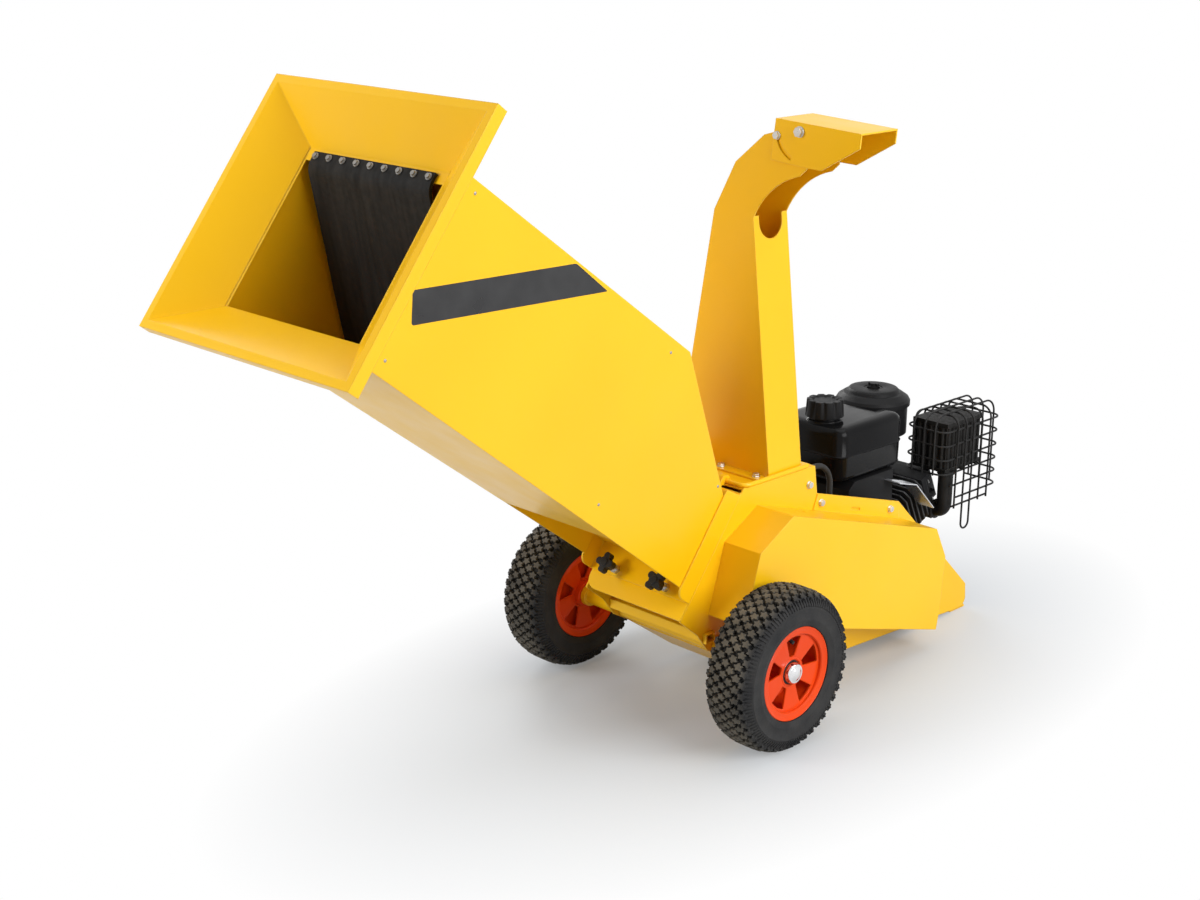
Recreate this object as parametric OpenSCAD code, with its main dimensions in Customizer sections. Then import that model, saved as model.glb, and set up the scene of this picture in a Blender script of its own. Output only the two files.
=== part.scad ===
// Garden shredder on two wheels: sloping feed hopper, rotor body, upright
// discharge chute and a small engine with a belt drive.
// Frame: origin on the ground under the axle, +X to the belt side, +Y to the engine, +Z up.

/* [Hopper] */
// slope of the feed axis below the horizontal, degrees
hopper_tilt = 37.16; // [36.6:0.02:37.8]
// mouth centre, distance in front of the axle
mouth_ahead = 673.4; // [672:0.1:675]
// mouth centre, height above the ground
mouth_z = 870.6; // [869:0.1:872]
// mouth width over the rim
mouth_w = 448; // [420:1:470]
// mouth height over the rim
mouth_h = 389; // [372:1:400]
// width of the flat rim
rim_flat = 12; // [8:0.5:16]
// depth of the turned-back rim
rim_return = 18; // [10:1:26]
// depth from rim to throat
throat_depth = 48.7; // [44:0.1:52]
// throat width
throat_w = 285.6; // [270:0.2:286]
// throat edge above the feed axis
throat_top = 118.2; // [112:0.2:122]
// throat edge below the feed axis
throat_low = 122.7; // [116:0.1:130]
// hopper sheet thickness
hopper_t = 2; // [1.5:0.25:2.5]
// duct width at the throat
duct_w0 = 290; // [289.6:0.2:300]
// duct width at the clamp flange
duct_w1 = 208; // [200:1:208]
// duct top above the feed axis, front
duct_top0 = 130.5; // [130:0.5:134]
// duct top above the feed axis, at the bend
duct_top1 = 152.5; // [140:0.5:158]
// distance from the mouth to the top bend
duct_bend = 615; // [590:1:640]
// distance from the mouth to the duct end
duct_end = 840; // [836:1:844]
// duct top at its end, above the feed axis
duct_top2 = 13; // [8:1:20]
// duct bottom below the feed axis
duct_low = 143; // [140:0.5:146]
// distance from the mouth to the fold of the floor
floor_fold = 640; // [600:5:700]
// floor height at the inlet, below the feed axis
floor_low = 101; // [99:0.5:106]

/* [Clamp] */
// distance from the mouth to the clamp flange face
flange_n = 873; // [872:0.1:874]
// clamp flange thickness
flange_t = 3; // [2:0.5:4]
// reach of the cheeks along the duct
cheek_len = 35; // [25:1:40]
// distance between the two star knobs
knob_pitch = 108; // [90:1:120]
// knob axis below the feed axis
knob_low = 146; // [140:0.5:148]
// star knob diameter over the lobes
knob_d = 34; // [28:1:38]
// clamp stud diameter
stud_d = 8; // [6:0.5:8]
// bent bar diameter
bar_d = 8; // [6:0.5:10]
// running clearance of pins and shafts
run_gap = 0.05; // [0.02:0.01:0.1]

/* [Curtain] */
// rubber sheet width
curtain_w = 248; // [200:2:248]
// rubber sheet thickness
curtain_t = 5; // [3:0.5:6]
// length of the hanging sheet
curtain_drop = 300; // [240:5:320]
// lean of the sheet from the vertical, degrees
curtain_lean = 12; // [8:0.5:16]
// number of screws in the clamped edge
curtain_screws_n = 9; // [5:1:11]

/* [Body] */
// body width over the side plates
body_w = 208; // [206:1:210]
// side plate thickness
plate_t = 3; // [2.5:0.25:4]
// rotor axis behind the axle
rotor_y = 90; // [88:0.5:92]
// rotor axis height
rotor_z = 243; // [242:0.5:244]
// radius of the knife tips
knife_r = 95; // [90:0.5:96]
// inside radius of the shell round the rotor
shell_r = 108; // [106:0.5:108]
// height of the top plate
top_z = 374; // [373:0.5:375]
// rotor shaft diameter in its bearings
rotor_shaft_d = 30; // [25:1:35]

/* [Chute] */
// front face of the chute
chute_y = 118; // [117:0.5:119]
// chute depth, front to back
chute_d = 80; // [74:1:80]
// chute sheet thickness
chute_t = 2.5; // [2:0.25:3]
// deflector pivot, to the side
pivot_x = 137; // [135:0.5:139]
// deflector pivot, height
pivot_z = 923; // [922:0.5:924]
// gap between chute and deflector
deflector_gap = 0.6; // [0.4:0.1:1]
// radius of the curved slot
slot_r = 44; // [43:0.5:45]

/* [Drive] */
// fall of the belt line to the rear, degrees
belt_fall = 16.5; // [16:0.1:17]
// distance between rotor and crank
drive_span = 370; // [366:1:374]
// rotor pulley pitch radius
rotor_pulley_r = 60; // [54:1:64]
// engine pulley pitch radius
engine_pulley_r = 40; // [34:1:46]
// belt width
belt_w = 20; // [16:1:24]
// guard depth from the side plate
guard_d = 74; // [70:1:75]
// guard sheet thickness
guard_t = 2; // [1.5:0.25:2.5]

/* [Wheels] */
// tyre diameter
wheel_d = 260; // [256:1:264]
// tyre width
tyre_w = 84; // [78:1:84]
// distance between the tyre centres
track = 452; // [448:1:470]
// rim diameter over the lips
rim_d = 150; // [140:1:160]
// axle diameter
axle_d = 20; // [16:1:22]
// axle tube diameter
axle_tube_d = 28; // [26:1:30]

/* [Engine] */
// engine bed height
bed_z = 34; // [33:0.5:35]
// slope of the cylinder, degrees
cyl_tilt = 25; // [24:0.5:26]
// crankshaft diameter
crank_d = 19; // [16:1:22]
// radius of the blower housing
blower_r = 103; // [95:1:103]
// fuel tank width
tank_w = 155; // [140:1:155]
// fuel tank length
tank_l = 181; // [170:1:182]
// fuel tank height
tank_h = 98; // [80:1:100]
// fuel cap diameter
cap_d = 66; // [50:1:70]
// air cleaner diameter
cleaner_d = 132; // [110:1:134]
// wire diameter of the muffler guard
wire_d = 3.5; // [3:0.25:4.5]

/* [Hidden] */
$fn = 48;
half = body_w / 2;
in_half = half - plate_t;
guard_x = half + guard_d;
axle_z = wheel_d / 2;
crank_y = rotor_y + drive_span * cos(belt_fall);
crank_z = rotor_z - drive_span * sin(belt_fall);
chute_y1 = chute_y + chute_d;
stud_r = stud_d / 2;
bar_r = bar_d / 2;
frame_n = flange_n + 0.3;
frame_t = 3.7;
bar_n = frame_n + 4.7;
bar_v = 47;
// the bent bar rests on the top plate
bar_y = hop_y(bar_n, bar_v);
bar_z = top_z + bar_r;
belt_x = half + 42;
// the curtain turns about the lower edge of its clamped strip
hinge_n = throat_depth - curtain_t / 2;
hinge_v = throat_top - 27;
hinge_y = hop_y(hinge_n, hinge_v);
hinge_z = hop_z(hinge_n, hinge_v);
shaft_r = rotor_shaft_d / 2;
case_x0 = -75;
case_x1 = 60;
tank_x0 = case_x1 - tank_w;
tank_y0 = 350;
tank_z0 = 298;
wire_r = wire_d / 2;

// hopper coordinates: n runs along the feed axis into the machine, v stands up across it
function hop_y(n, v) = -mouth_ahead + n * cos(hopper_tilt) + v * sin(hopper_tilt);
function hop_z(n, v) = mouth_z - n * sin(hopper_tilt) + v * cos(hopper_tilt);
function hop(n, v) = [hop_y(n, v), hop_z(n, v)];
function unit(a) = a / norm(a);
function left_of(a, b) = [-(b[1] - a[1]), b[0] - a[0]] / norm(b - a);
// outline moved inwards by t, points run anticlockwise
function inset(p, t) = [for (i = [0 : len(p) - 1])
    let (m = len(p), a = p[(i + m - 1) % m], b = p[i], c = p[(i + 1) % m])
    let (n1 = left_of(a, b), n2 = left_of(b, c))
    b + (n1 + n2) * t / (1 + n1 * n2)];
function arc(cx, cy, r, a0, a1, steps) = [for (i = [0 : steps])
    let (a = a0 + (a1 - a0) * i / steps) [cx + r * cos(a), cy + r * sin(a)]];

module in_hopper() {
    translate([0, -mouth_ahead, mouth_z])
        rotate([-hopper_tilt, 0, 0])
            children();
}

// a flat outline in Y and Z, drawn out along X
module along_x(x0, x1) {
    translate([x0, 0, 0])
        rotate([90, 0, 90])
            linear_extrude(x1 - x0)
                children();
}

// a flat outline in X and Z, drawn out along Y
module along_y(y0, y1) {
    translate([0, y1, 0])
        rotate([90, 0, 0])
            linear_extrude(y1 - y0)
                children();
}

module rod_x(x0, x1, y, z, r) {
    translate([x0, y, z])
        rotate([0, 90, 0])
            cylinder(h = x1 - x0, r = r);
}

module rod_y(y0, y1, x, z, r) {
    translate([x, y0, z])
        rotate([-90, 0, 0])
            cylinder(h = y1 - y0, r = r);
}

module rod_z(z0, z1, x, y, r) {
    translate([x, y, z0])
        cylinder(h = z1 - z0, r = r);
}

module box(x0, x1, y0, y1, z0, z1) {
    translate([x0, y0, z0])
        cube([x1 - x0, y1 - y0, z1 - z0]);
}

// hexagon bolt head with its washer, standing up from z = 0, shank below
module hex_bolt(shank_r, shank_len) {
    cylinder(h = 1.5, r = shank_r * 2.1);
    translate([0, 0, 1.5])
        cylinder(h = shank_r * 1.3, r = shank_r * 1.9, $fn = 6);
    translate([0, 0, -shank_len])
        cylinder(h = shank_len + 0.5, r = shank_r);
}

// frame of the belt drive: u along the belt line, w across it
module in_drive() {
    translate([0, rotor_y, rotor_z])
        rotate([-belt_fall, 0, 0])
            children();
}

// hopper

module plan_wedge(inner) {
    t = inner;
    n0 = 0;
    n1 = duct_end + 60;
    slope = (duct_w0 - duct_w1) / 2 / (duct_end - throat_depth);
    w0 = duct_w0 / 2 + slope * throat_depth - t;
    w1 = duct_w0 / 2 - slope * (n1 - throat_depth) - t;
    translate([0, 0, -200])
        linear_extrude(400)
            polygon([[-w0, n0], [w0, n0], [w1, n1], [-w1, n1]]);
}

module hopper_duct() {
    t = hopper_t;
    side0 = throat_depth + 0.8;
    top_slope = (duct_top1 - duct_top0) / (duct_bend - throat_depth);
    rear_slope = (duct_top1 - duct_top2) / (duct_end - duct_bend);
    fl_slope = (duct_low - floor_low) / (flange_n - flange_t - floor_fold);
    top_front = throat_depth - 5.8;
    low_front = throat_depth - 12.8;
    color([0.96, 0.72, 0.05])
    in_hopper()
        difference() {
            intersection() {
                along_x(-200, 200)
                    polygon([[low_front, -duct_low], [duct_end, -duct_low], [duct_end, duct_top2],
                        [duct_bend, duct_top1], [top_front, duct_top0]]);
                plan_wedge(0);
            }
            // the passage
            intersection() {
                along_x(-200, 200)
                    polygon([[-10, -duct_low + t], [floor_fold, -duct_low + t],
                        [duct_end + 20, -duct_low + t + fl_slope * (duct_end + 20 - floor_fold)],
                        [duct_end + 20, duct_top2 - 20 * rear_slope - t * 1.18],
                        [duct_bend - 0.5, duct_top1 - t], [-10, duct_top0 - t - 55 * top_slope]]);
                plan_wedge(t);
            }
            // space under the raised end of the floor
            intersection() {
                along_x(-200, 200)
                    polygon([[floor_fold, -duct_low - 0.01], [duct_end + 20, -duct_low - 0.01],
                        [duct_end + 20, -duct_low + fl_slope * (duct_end + 20 - floor_fold)]]);
                plan_wedge(t);
            }
            // front edges of the side panels end behind the flare
            for (s = [-1, 1])
                translate([s * (duct_w0 / 2 + 8.9), side0 - 60, 0])
                    cube([22, 120, 600], center = true);
        }
}

// flared mouth with flat rim, turned-back edge and throat frame
module hopper_mouth() {
    t = hopper_t;
    hw = mouth_w / 2;
    hh = mouth_h / 2;
    iw = hw - rim_flat;
    ih = hh - rim_flat;
    tw = throat_w / 2;
    lip = hinge_v + 9;
    color([0.96, 0.72, 0.05])
    in_hopper() {
        difference() {
            union() {
                // flare
                hull() {
                    box(-iw - t, iw + t, 0, 0.1, -ih - t, ih + t);
                    box(-tw - t, tw + t, throat_depth - 0.1, throat_depth, -throat_low - t, throat_top + t);
                }
                // flat rim and turned-back edge
                box(-hw, hw, 0, t, -hh, hh);
                difference() {
                    box(-hw, hw, 0, rim_return, -hh, hh);
                    box(-hw + t, hw - t, t, rim_return + 1, -hh + t, hh - t);
                }
                // throat frame
                box(-tw + 0.1, tw - 0.1, throat_depth, throat_depth + t,
                    -duct_low + t + 0.3, duct_top0 - t - 0.3);
            }
            hull() {
                box(-iw - 1, iw + 1, -0.7, -0.6, -ih - 1, ih + 1);
                box(-tw + 0.6, tw - 0.6, throat_depth + 0.4, throat_depth + 0.5,
                    -throat_low + 0.6, throat_top - 0.6);
            }
            box(-tw + 3, tw - 3, throat_depth - 3, throat_depth + 5, -throat_low, lip);
            // screw holes in the clamp lip
            for (i = [0 : curtain_screws_n - 1])
                rod_y(throat_depth - 1, throat_depth + 5, screw_x(i), hinge_v + 14, 2.2);
        }
    }
}

function screw_x(i) = -(curtain_w - 16) / 2 + i * (curtain_w - 16) / (curtain_screws_n - 1);

// end flange of the hopper with its cheeks and the two hooks over the bent bar
module hopper_flange() {
    cheek_x = half + 0.3;
    color([0.96, 0.72, 0.05])
    difference() {
        union() {
            in_hopper()
                difference() {
                    union() {
                        box(-cheek_x - flange_t, cheek_x + flange_t, flange_n - flange_t, flange_n, -157, 30);
                        for (s = [-1, 1])
                            translate([s * (cheek_x + flange_t / 2), 0, 0])
                                along_x(-flange_t / 2, flange_t / 2)
                                    polygon(concat([[flange_n, 30], [flange_n - cheek_len, 24]],
                                        arc(flange_n - cheek_len + 16, -141, 16, 180, 270, 6),
                                        [[flange_n, -157]]));
                        // floor tongue that carries on from the duct
                        box(-duct_w1 / 2 + 4, duct_w1 / 2 - 4, duct_end + 0.4, flange_n - 1,
                            -floor_low - hopper_t - 5.4, -floor_low - 5.4);
                    }
                    box(-duct_w1 / 2 + 8, duct_w1 / 2 - 8, flange_n - flange_t - 1, flange_n + 1,
                        -floor_low + 2, 24);
                    for (s = [-1, 1])
                        rod_y(flange_n - flange_t - 1, flange_n + 1,
                            s * knob_pitch / 2, -knob_low, stud_r + 0.3);
                }
            // hooks over the bar
            for (s = [-1, 1])
                along_x(s * 60 - 5, s * 60 + 5)
                    hook_outline();
        }
    }
}

module hook_outline() {
    difference() {
        union() {
            polygon([hop(flange_n - 7, 18), hop(flange_n, 18), hop(flange_n, 36.5), [bar_y - 1, bar_z - 2],
                [bar_y + 2, bar_z + 9], hop(flange_n - 7, 50)]);
            translate([bar_y, bar_z])
                circle(r = 9);
        }
        translate([bar_y, bar_z])
            circle(r = bar_r + run_gap);
        translate([bar_y, bar_z])
            polygon([[0, 0], [40, 11], [40, -40], [-4, -40], [-4.6, -5], [-3, -2]]);
    }
}

// rubber edge screwed under the throat lip
module curtain_strip() {
    color([0.12, 0.12, 0.12])
    in_hopper()
        difference() {
            box(-curtain_w / 2, curtain_w / 2, throat_depth - curtain_t, throat_depth,
                hinge_v + curtain_t / 2 + 0.3, hinge_v + 21);
            for (i = [0 : curtain_screws_n - 1])
                rod_y(throat_depth - 20, throat_depth + 5, screw_x(i), hinge_v + 14, 2.2);
        }
}

module curtain_screws() {
    n0 = throat_depth - curtain_t;
    color([0.75, 0.75, 0.76])
    in_hopper()
        for (i = [0 : curtain_screws_n - 1])
            translate([screw_x(i), 0, hinge_v + 14]) {
                rod_y(n0 - 1.2, n0, 0, 0, 5);
                rod_y(n0 - 4, n0 - 1, 0, 0, 3.4);
                rod_y(n0 - 2, throat_depth + hopper_t + 3, 0, 0, 2);
                rod_y(throat_depth + hopper_t, throat_depth + hopper_t + 3, 0, 0, 4, $fn = 6);
            }
}

// hanging rubber sheet, rounded along its upper edge
module rubber_curtain() {
    color([0.1, 0.1, 0.1])
    translate([0, hinge_y, hinge_z])
        rotate([curtain_lean, 0, 0])
            along_x(-curtain_w / 2, curtain_w / 2) {
                circle(r = curtain_t / 2);
                translate([-curtain_t / 2, -curtain_drop])
                    square([curtain_t, curtain_drop]);
            }
}

module star_knob(s) {
    color([0.1, 0.1, 0.1])
    in_hopper()
        translate([s * knob_pitch / 2, 0, -knob_low])
            difference() {
                union() {
                    translate([0, flange_n - 27, 0])
                        rotate([90, 0, 0])
                            linear_extrude(11) {
                                circle(r = knob_d * 0.29);
                                for (a = [0 : 90 : 270])
                                    rotate(a + (s > 0 ? 55 : 0))
                                        translate([knob_d * 0.33, 0])
                                            circle(r = knob_d * 0.17);
                            }
                    rod_y(flange_n - 27.5, flange_n - 18, 0, 0, 7);
                    rod_y(flange_n - 39.5, flange_n - 37.5, 0, 0, 6.5);
                }
                rod_y(flange_n - 36, flange_n, 0, 0, stud_r + 0.02);
            }
}

module star_knob_left() {
    star_knob(-1);
}

module star_knob_right() {
    star_knob(1);
}

// clamp stud with its hexagon collar
module clamp_stud(s) {
    color([0.75, 0.75, 0.76])
    in_hopper()
        translate([s * knob_pitch / 2, 0, -knob_low]) {
            rod_y(flange_n - 35.8, flange_n + 13, 0, 0, stud_r);
            rod_y(flange_n - flange_t - 6.7, flange_n - flange_t - 0.2, 0, 0, 7.5, $fn = 6);
        }
}

module clamp_stud_left() {
    clamp_stud(-1);
}

module clamp_stud_right() {
    clamp_stud(1);
}

// body

front_n = frame_n + frame_t;
body_front = [hop(front_n, 44), hop(front_n, -188)];
under_front = [[-48, 158], [-24, 126], [11, 106], [115, 33]];

module plate_holes() {
    box(-500, 500, -35.3, -13.7, 140.7, 157.3);
    rod_x(-500, 500, 0, axle_z, axle_tube_d / 2 + 0.3);
    rod_x(-500, 500, rotor_y, rotor_z, shaft_r + 4);
}

module side_plate_left() {
    color([0.96, 0.72, 0.05])
    difference() {
        along_x(-half, -in_half)
            polygon(concat(body_front, under_front, [[234, 27]], [[234, 325], [226, top_z], [60, top_z]]));
        plate_holes();
        bearing_bolt_holes();
        // flange screws of the chute do not reach here, a hand hole eases the inner corner
        rod_x(-half - 1, -in_half + 1, 205, 300, 9);
    }
}

module side_plate_right() {
    color([0.96, 0.72, 0.05])
    difference() {
        along_x(in_half, half)
            polygon(concat(body_front, under_front, [[664, 3.5]], arc(666, 22, 18, 275, 350, 6),
                [[681, 47], [460, 258], [234, 325], [226, top_z], [60, top_z]]));
        plate_holes();
        bearing_bolt_holes();
        rod_x(in_half - 1, half + 1, crank_y, crank_z, 30);
        for (b = guard_bolt_at)
            rod_x(in_half - 1, half + 1, b[0], b[1], 3.2);
    }
}

// plate behind the clamp flange, with the feed window and welded nuts
module inlet_frame() {
    color([0.93, 0.69, 0.05])
    in_hopper()
        difference() {
            union() {
                along_y(frame_n, front_n)
                    polygon(concat([[-half, 34]], arc(-half + 22, -165, 22, 180, 270, 6),
                        [[half - 2, -187], [half, -185], [half, 34]]));
                for (s = [-1, 1])
                    rod_y(front_n - 0.5, front_n + 6, s * knob_pitch / 2, -knob_low, 9, $fn = 6);
            }
            box(-92, 92, frame_n - 1, front_n + 1, -floor_low + 2, 28);
            for (s = [-1, 1])
                rod_y(frame_n - 1, front_n + 12, s * knob_pitch / 2, -knob_low, stud_r + 1.2);
        }
}

// top plate with the window under the chute and its turned-down rear edge
module top_plate() {
    x1 = in_half;
    color([0.96, 0.72, 0.05])
    difference() {
        union() {
            box(-x1, x1, 51, 226, top_z - 3, top_z);
            box(-x1, x1, 223, 226, 340, top_z - 2);
        }
        box(-88, 96, chute_y + chute_t, chute_y1 - chute_t, top_z - 4, top_z + 1);
        for (x = chute_bolt_x)
            for (y = [chute_y - 11, chute_y1 + 11])
                rod_z(top_z - 4, top_z + 1, x, y, 3.2);
    }
}

// curved shell under and behind the rotor
module rotor_shell() {
    color([0.93, 0.69, 0.05])
    along_x(-in_half, in_half)
        polygon(concat(arc(rotor_y, rotor_z, shell_r, 186, 360, 40),
            [[rotor_y + shell_r, top_z - 3], [rotor_y + shell_r + 3, top_z - 3]],
            arc(rotor_y, rotor_z, shell_r + 3, 360, 186, 40)));
}

module belly_pan() {
    color([0.93, 0.69, 0.05])
    along_x(-in_half, in_half)
        polygon([[17, 101.8], [115, 33], [233, 27.1], [233, 30.1], [116, 36], [18.7, 104.3]]);
}

// bent round bar on top of the body
module hanger_bar() {
    x1 = half - plate_t / 2;
    bend = 14;
    y1 = 207;
    color([0.93, 0.69, 0.05]) {
        rod_x(-x1 + bend, x1 - bend, bar_y, bar_z, bar_r);
        for (s = [-1, 1]) {
            rod_y(bar_y + bend, y1, s * x1, bar_z, bar_r);
            translate([s * (x1 - bend), bar_y + bend, bar_z])
                rotate(s > 0 ? 270 : 180)
                    rotate_extrude(angle = 90)
                        translate([bend, 0])
                            circle(r = bar_r);
        }
    }
}

// fixed knife at the bottom of the feed window
module counter_knife() {
    color([0.6, 0.6, 0.62])
    in_hopper()
        along_x(-94, 94)
            polygon([[front_n + 0.2, -floor_low + 1], [front_n + 0.2, -floor_low - 11],
                [909, -floor_low - 11], [905, -floor_low + 1]]);
}

// engine bed with its low rail
module engine_bed() {
    color([0.93, 0.69, 0.05])
    difference() {
        union() {
            box(case_x0, in_half, 236, 672, bed_z - 4, bed_z);
            box(case_x0 - 3, case_x0, 236, 672, 6, bed_z);
            box(case_x0, in_half, 236, 239, bed_z - 0.5, 70);
        }
        for (x = engine_bolt_x)
            for (y = engine_bolt_y)
                rod_z(bed_z - 5, bed_z + 1, x, crank_y + y, 4.2);
    }
}

module rear_foot() {
    color([0.93, 0.69, 0.05]) {
        box(case_x0 - 3, in_half - 0.2, 642, 686, 0, 4);
        box(case_x0, in_half - 0.2, 660, 664, 3, bed_z - 4);
    }
}

// running gear

module axle_beam() {
    color([0.93, 0.69, 0.05])
    difference() {
        box(-111, 111, -35, -14, 141, 157);
        box(-112, 112, -32.5, -16.5, 143.5, 154.5);
    }
}

module axle_tube() {
    x1 = track / 2 - 48;
    color([0.93, 0.69, 0.05])
    difference() {
        union() {
            rod_x(-x1, x1, 0, axle_z, axle_tube_d / 2);
            for (s = [-1, 1])
                rod_x(s > 0 ? x1 : -x1 - 9, s > 0 ? x1 + 9 : -x1, 0, axle_z, axle_tube_d / 2 + 4);
        }
        rod_x(-x1 - 20, x1 + 20, 0, axle_z, axle_d / 2 + 0.1);
    }
}

module axle_shaft() {
    x1 = track / 2 + 30;
    color([0.6, 0.6, 0.62])
    rod_x(-x1, x1, 0, axle_z, axle_d / 2);
}

module hub_caps() {
    x0 = track / 2 + 26.5;
    color([0.85, 0.85, 0.86])
    for (s = [-1, 1])
        translate([s * x0, 0, axle_z])
            rotate([0, s * 90, 0])
                rotate_extrude()
                    polygon(concat([[axle_d / 2 + 0.03, 0], [17, 0], [17, 2]], arc(0, 2, 17, 8, 30, 4),
                        [[12, 10.6], [8, 12.4], [4, 13.4], [0, 13.7], [0, 4], [axle_d / 2 + 0.03, 4]]));
}

// tyre with rounded shoulders, two grooves round it and cross grooves on the shoulders
module tyre(s) {
    r1 = wheel_d / 2;
    w = tyre_w / 2;
    rr = rim_d / 2;
    color([0.13, 0.13, 0.13])
    translate([s * track / 2, 0, axle_z])
        rotate([0, 90, 0])
            difference() {
                rotate_extrude($fn = 96)
                    polygon(concat(
                        [[rr - 5.6, -31.6], [rr + 0.6, -34.2], [rr + 0.6, -38.6]],
                        arc(r1 - 27, -w + 19, 19, 236, 300, 7),
                        [[r1 - 8, -w + 7], [r1 - 1.5, -w + 12], [r1, -w + 16]],
                        [[r1, -9.5], [r1 - 5, -9], [r1 - 5, -5], [r1, -4.5]],
                        [[r1, 4.5], [r1 - 5, 5], [r1 - 5, 9], [r1, 9.5]],
                        [[r1, w - 16], [r1 - 1.5, w - 12], [r1 - 8, w - 7]],
                        arc(r1 - 27, w - 19, 19, 60, 124, 7),
                        [[rr + 0.6, 38.6], [rr + 0.6, 34.2], [rr - 5.6, 31.6]]));
                for (i = [0 : 27])
                    for (e = [-1, 1])
                        rotate(i * 360 / 28 + (e > 0 ? 360 / 56 : 0))
                            translate([r1 - 4.5, 0, e * (w - 5)])
                                rotate([0, e * 16, 0])
                                    translate([-1, -2.6, -12])
                                        cube([14, 5.2, 22]);
            }
}

module tyre_left() {
    tyre(-1);
}

module tyre_right() {
    tyre(1);
}

// five-spoke moulded rim, outer face towards s
module rim(s) {
    rr = rim_d / 2;
    bore = axle_d / 2 + run_gap;
    color([0.9, 0.28, 0.1])
    translate([s * track / 2, 0, axle_z])
        rotate([0, s * 90, 0])
            difference() {
                rotate_extrude($fn = 96)
                    polygon([[bore, -38], [21, -38], [23, -34], [24, 12], [rr - 15, 12], [rr - 15, -38],
                        [rr, -38], [rr, -34.5], [rr - 6, -32], [rr - 6, 32], [rr, 34.5], [rr, 38],
                        [rr - 4, 38], [rr - 12, 30], [rr - 20, 24], [28, 24], [24, 26], [bore, 26]]);
                for (i = [0 : 4])
                    rotate(i * 72 + 36)
                        translate([0, 0, 5])
                            linear_extrude(30)
                                polygon(concat(arc(0, 0, 31, -20, 20, 6), arc(0, 0, rr - 19, 25, -25, 8)));
            }
}

module rim_left() {
    rim(-1);
}

module rim_right() {
    rim(1);
}

// rotor

module rotor_shaft() {
    color([0.6, 0.6, 0.62]) {
        rod_x(-in_half + 2, in_half - 2, rotor_y, rotor_z, shaft_r + 3);
        rod_x(-half - 30, belt_x + 16, rotor_y, rotor_z, shaft_r);
    }
}

// knife edge, seat and pocket, drawn with the edge at the top of the circle
edge = [0, knife_r - 1];
lie = [cos(35), -sin(35)];
seat = [sin(35), cos(35)];
knife_len = 58;
knife_t = 8;

module rotor_drum() {
    r = knife_r - 14;
    low = edge + lie * knife_len - seat * knife_t;
    color([0.35, 0.35, 0.36])
    along_x(-94, 94)
        translate([rotor_y, rotor_z])
            difference() {
                circle(r = r, $fn = 96);
                circle(r = shaft_r + 3.02);
                for (a = [20, 200])
                    rotate(a)
                        polygon([low + lie * 2, low + lie * 2 + seat * 60, [-70, 130], [-58, 64], [-22, 56],
                            edge - seat * knife_t + lie * 14]);
            }
}

module rotor_knives() {
    color([0.66, 0.66, 0.68])
    for (a = [20, 200])
        along_x(-93, 93)
            translate([rotor_y, rotor_z])
                rotate(a)
                    polygon([edge, edge + lie * 14 - seat * knife_t, edge + lie * knife_len - seat * knife_t,
                        edge + lie * knife_len]);
}

bearing_bolt_r = 36;

module bearing_bolt_holes() {
    for (a = [45 : 90 : 315])
        rod_x(-500, 500, rotor_y + bearing_bolt_r * cos(a), rotor_z + bearing_bolt_r * sin(a), 4.2);
}

// flange bearings with their bolts, one on each side plate
module rotor_bearings() {
    color([0.45, 0.46, 0.48])
    for (s = [-1, 1]) {
        difference() {
            union() {
                rod_x(s > 0 ? half : -half - 12, s > 0 ? half + 12 : -half, rotor_y, rotor_z, 46);
                rod_x(s > 0 ? half : -half - 22, s > 0 ? half + 22 : -half, rotor_y, rotor_z, 28);
            }
            rod_x(-half - 40, half + 40, rotor_y, rotor_z, shaft_r + run_gap);
        }
        for (a = [45 : 90 : 315])
            translate([s * (half + 11.9), rotor_y, rotor_z] + bearing_bolt_r * [0, cos(a), sin(a)])
                rotate([0, s * 90, 0])
                    cylinder(h = 6, r = 7, $fn = 6);
    }
}

module pulley(r, bore) {
    rotate_extrude($fn = 96)
        polygon([[bore, -15], [r + 7, -15], [r + 7, -belt_w / 2 - 1], [r - 5, -belt_w / 2 - 0.3],
            [r - 5, belt_w / 2 + 0.3], [r + 7, belt_w / 2 + 1], [r + 7, 15], [r - 8, 15],
            [r - 12, 6], [bore + 14, 6], [bore + 10, 18], [bore, 18]]);
}

module rotor_pulley() {
    color([0.3, 0.3, 0.31])
    translate([belt_x, rotor_y, rotor_z])
        rotate([0, 90, 0])
            pulley(rotor_pulley_r, shaft_r + 0.02);
}

module engine_pulley() {
    color([0.3, 0.3, 0.31])
    translate([belt_x, crank_y, crank_z])
        rotate([0, 90, 0])
            pulley(engine_pulley_r, crank_d / 2 + 0.02);
}

module belt_loop(grow) {
    r1 = rotor_pulley_r + grow;
    r2 = engine_pulley_r + grow;
    wrap = acos((rotor_pulley_r - engine_pulley_r) / drive_span);
    polygon(concat(arc(0, 0, r1, wrap, 360 - wrap, 48), arc(drive_span, 0, r2, -wrap, wrap, 40)));
}

module drive_belt() {
    color([0.15, 0.15, 0.15])
    in_drive()
        along_x(belt_x - belt_w / 2, belt_x + belt_w / 2)
            difference() {
                belt_loop(5);
                belt_loop(-4.4);
            }
}

guard_line = [[-93, -87], [440, -87], [437, -50], [417, 43], [371, 90], [-32, 92], [-93, 30]];
// guard bolts as points in Y and Z
function drive_at(u, w) = [rotor_y + u * cos(belt_fall) + w * sin(belt_fall),
    rotor_z - u * sin(belt_fall) + w * cos(belt_fall)];
guard_bolt_at = [drive_at(127.5, 105.5), drive_at(325.6, 105.5), [212, 345]];

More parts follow.
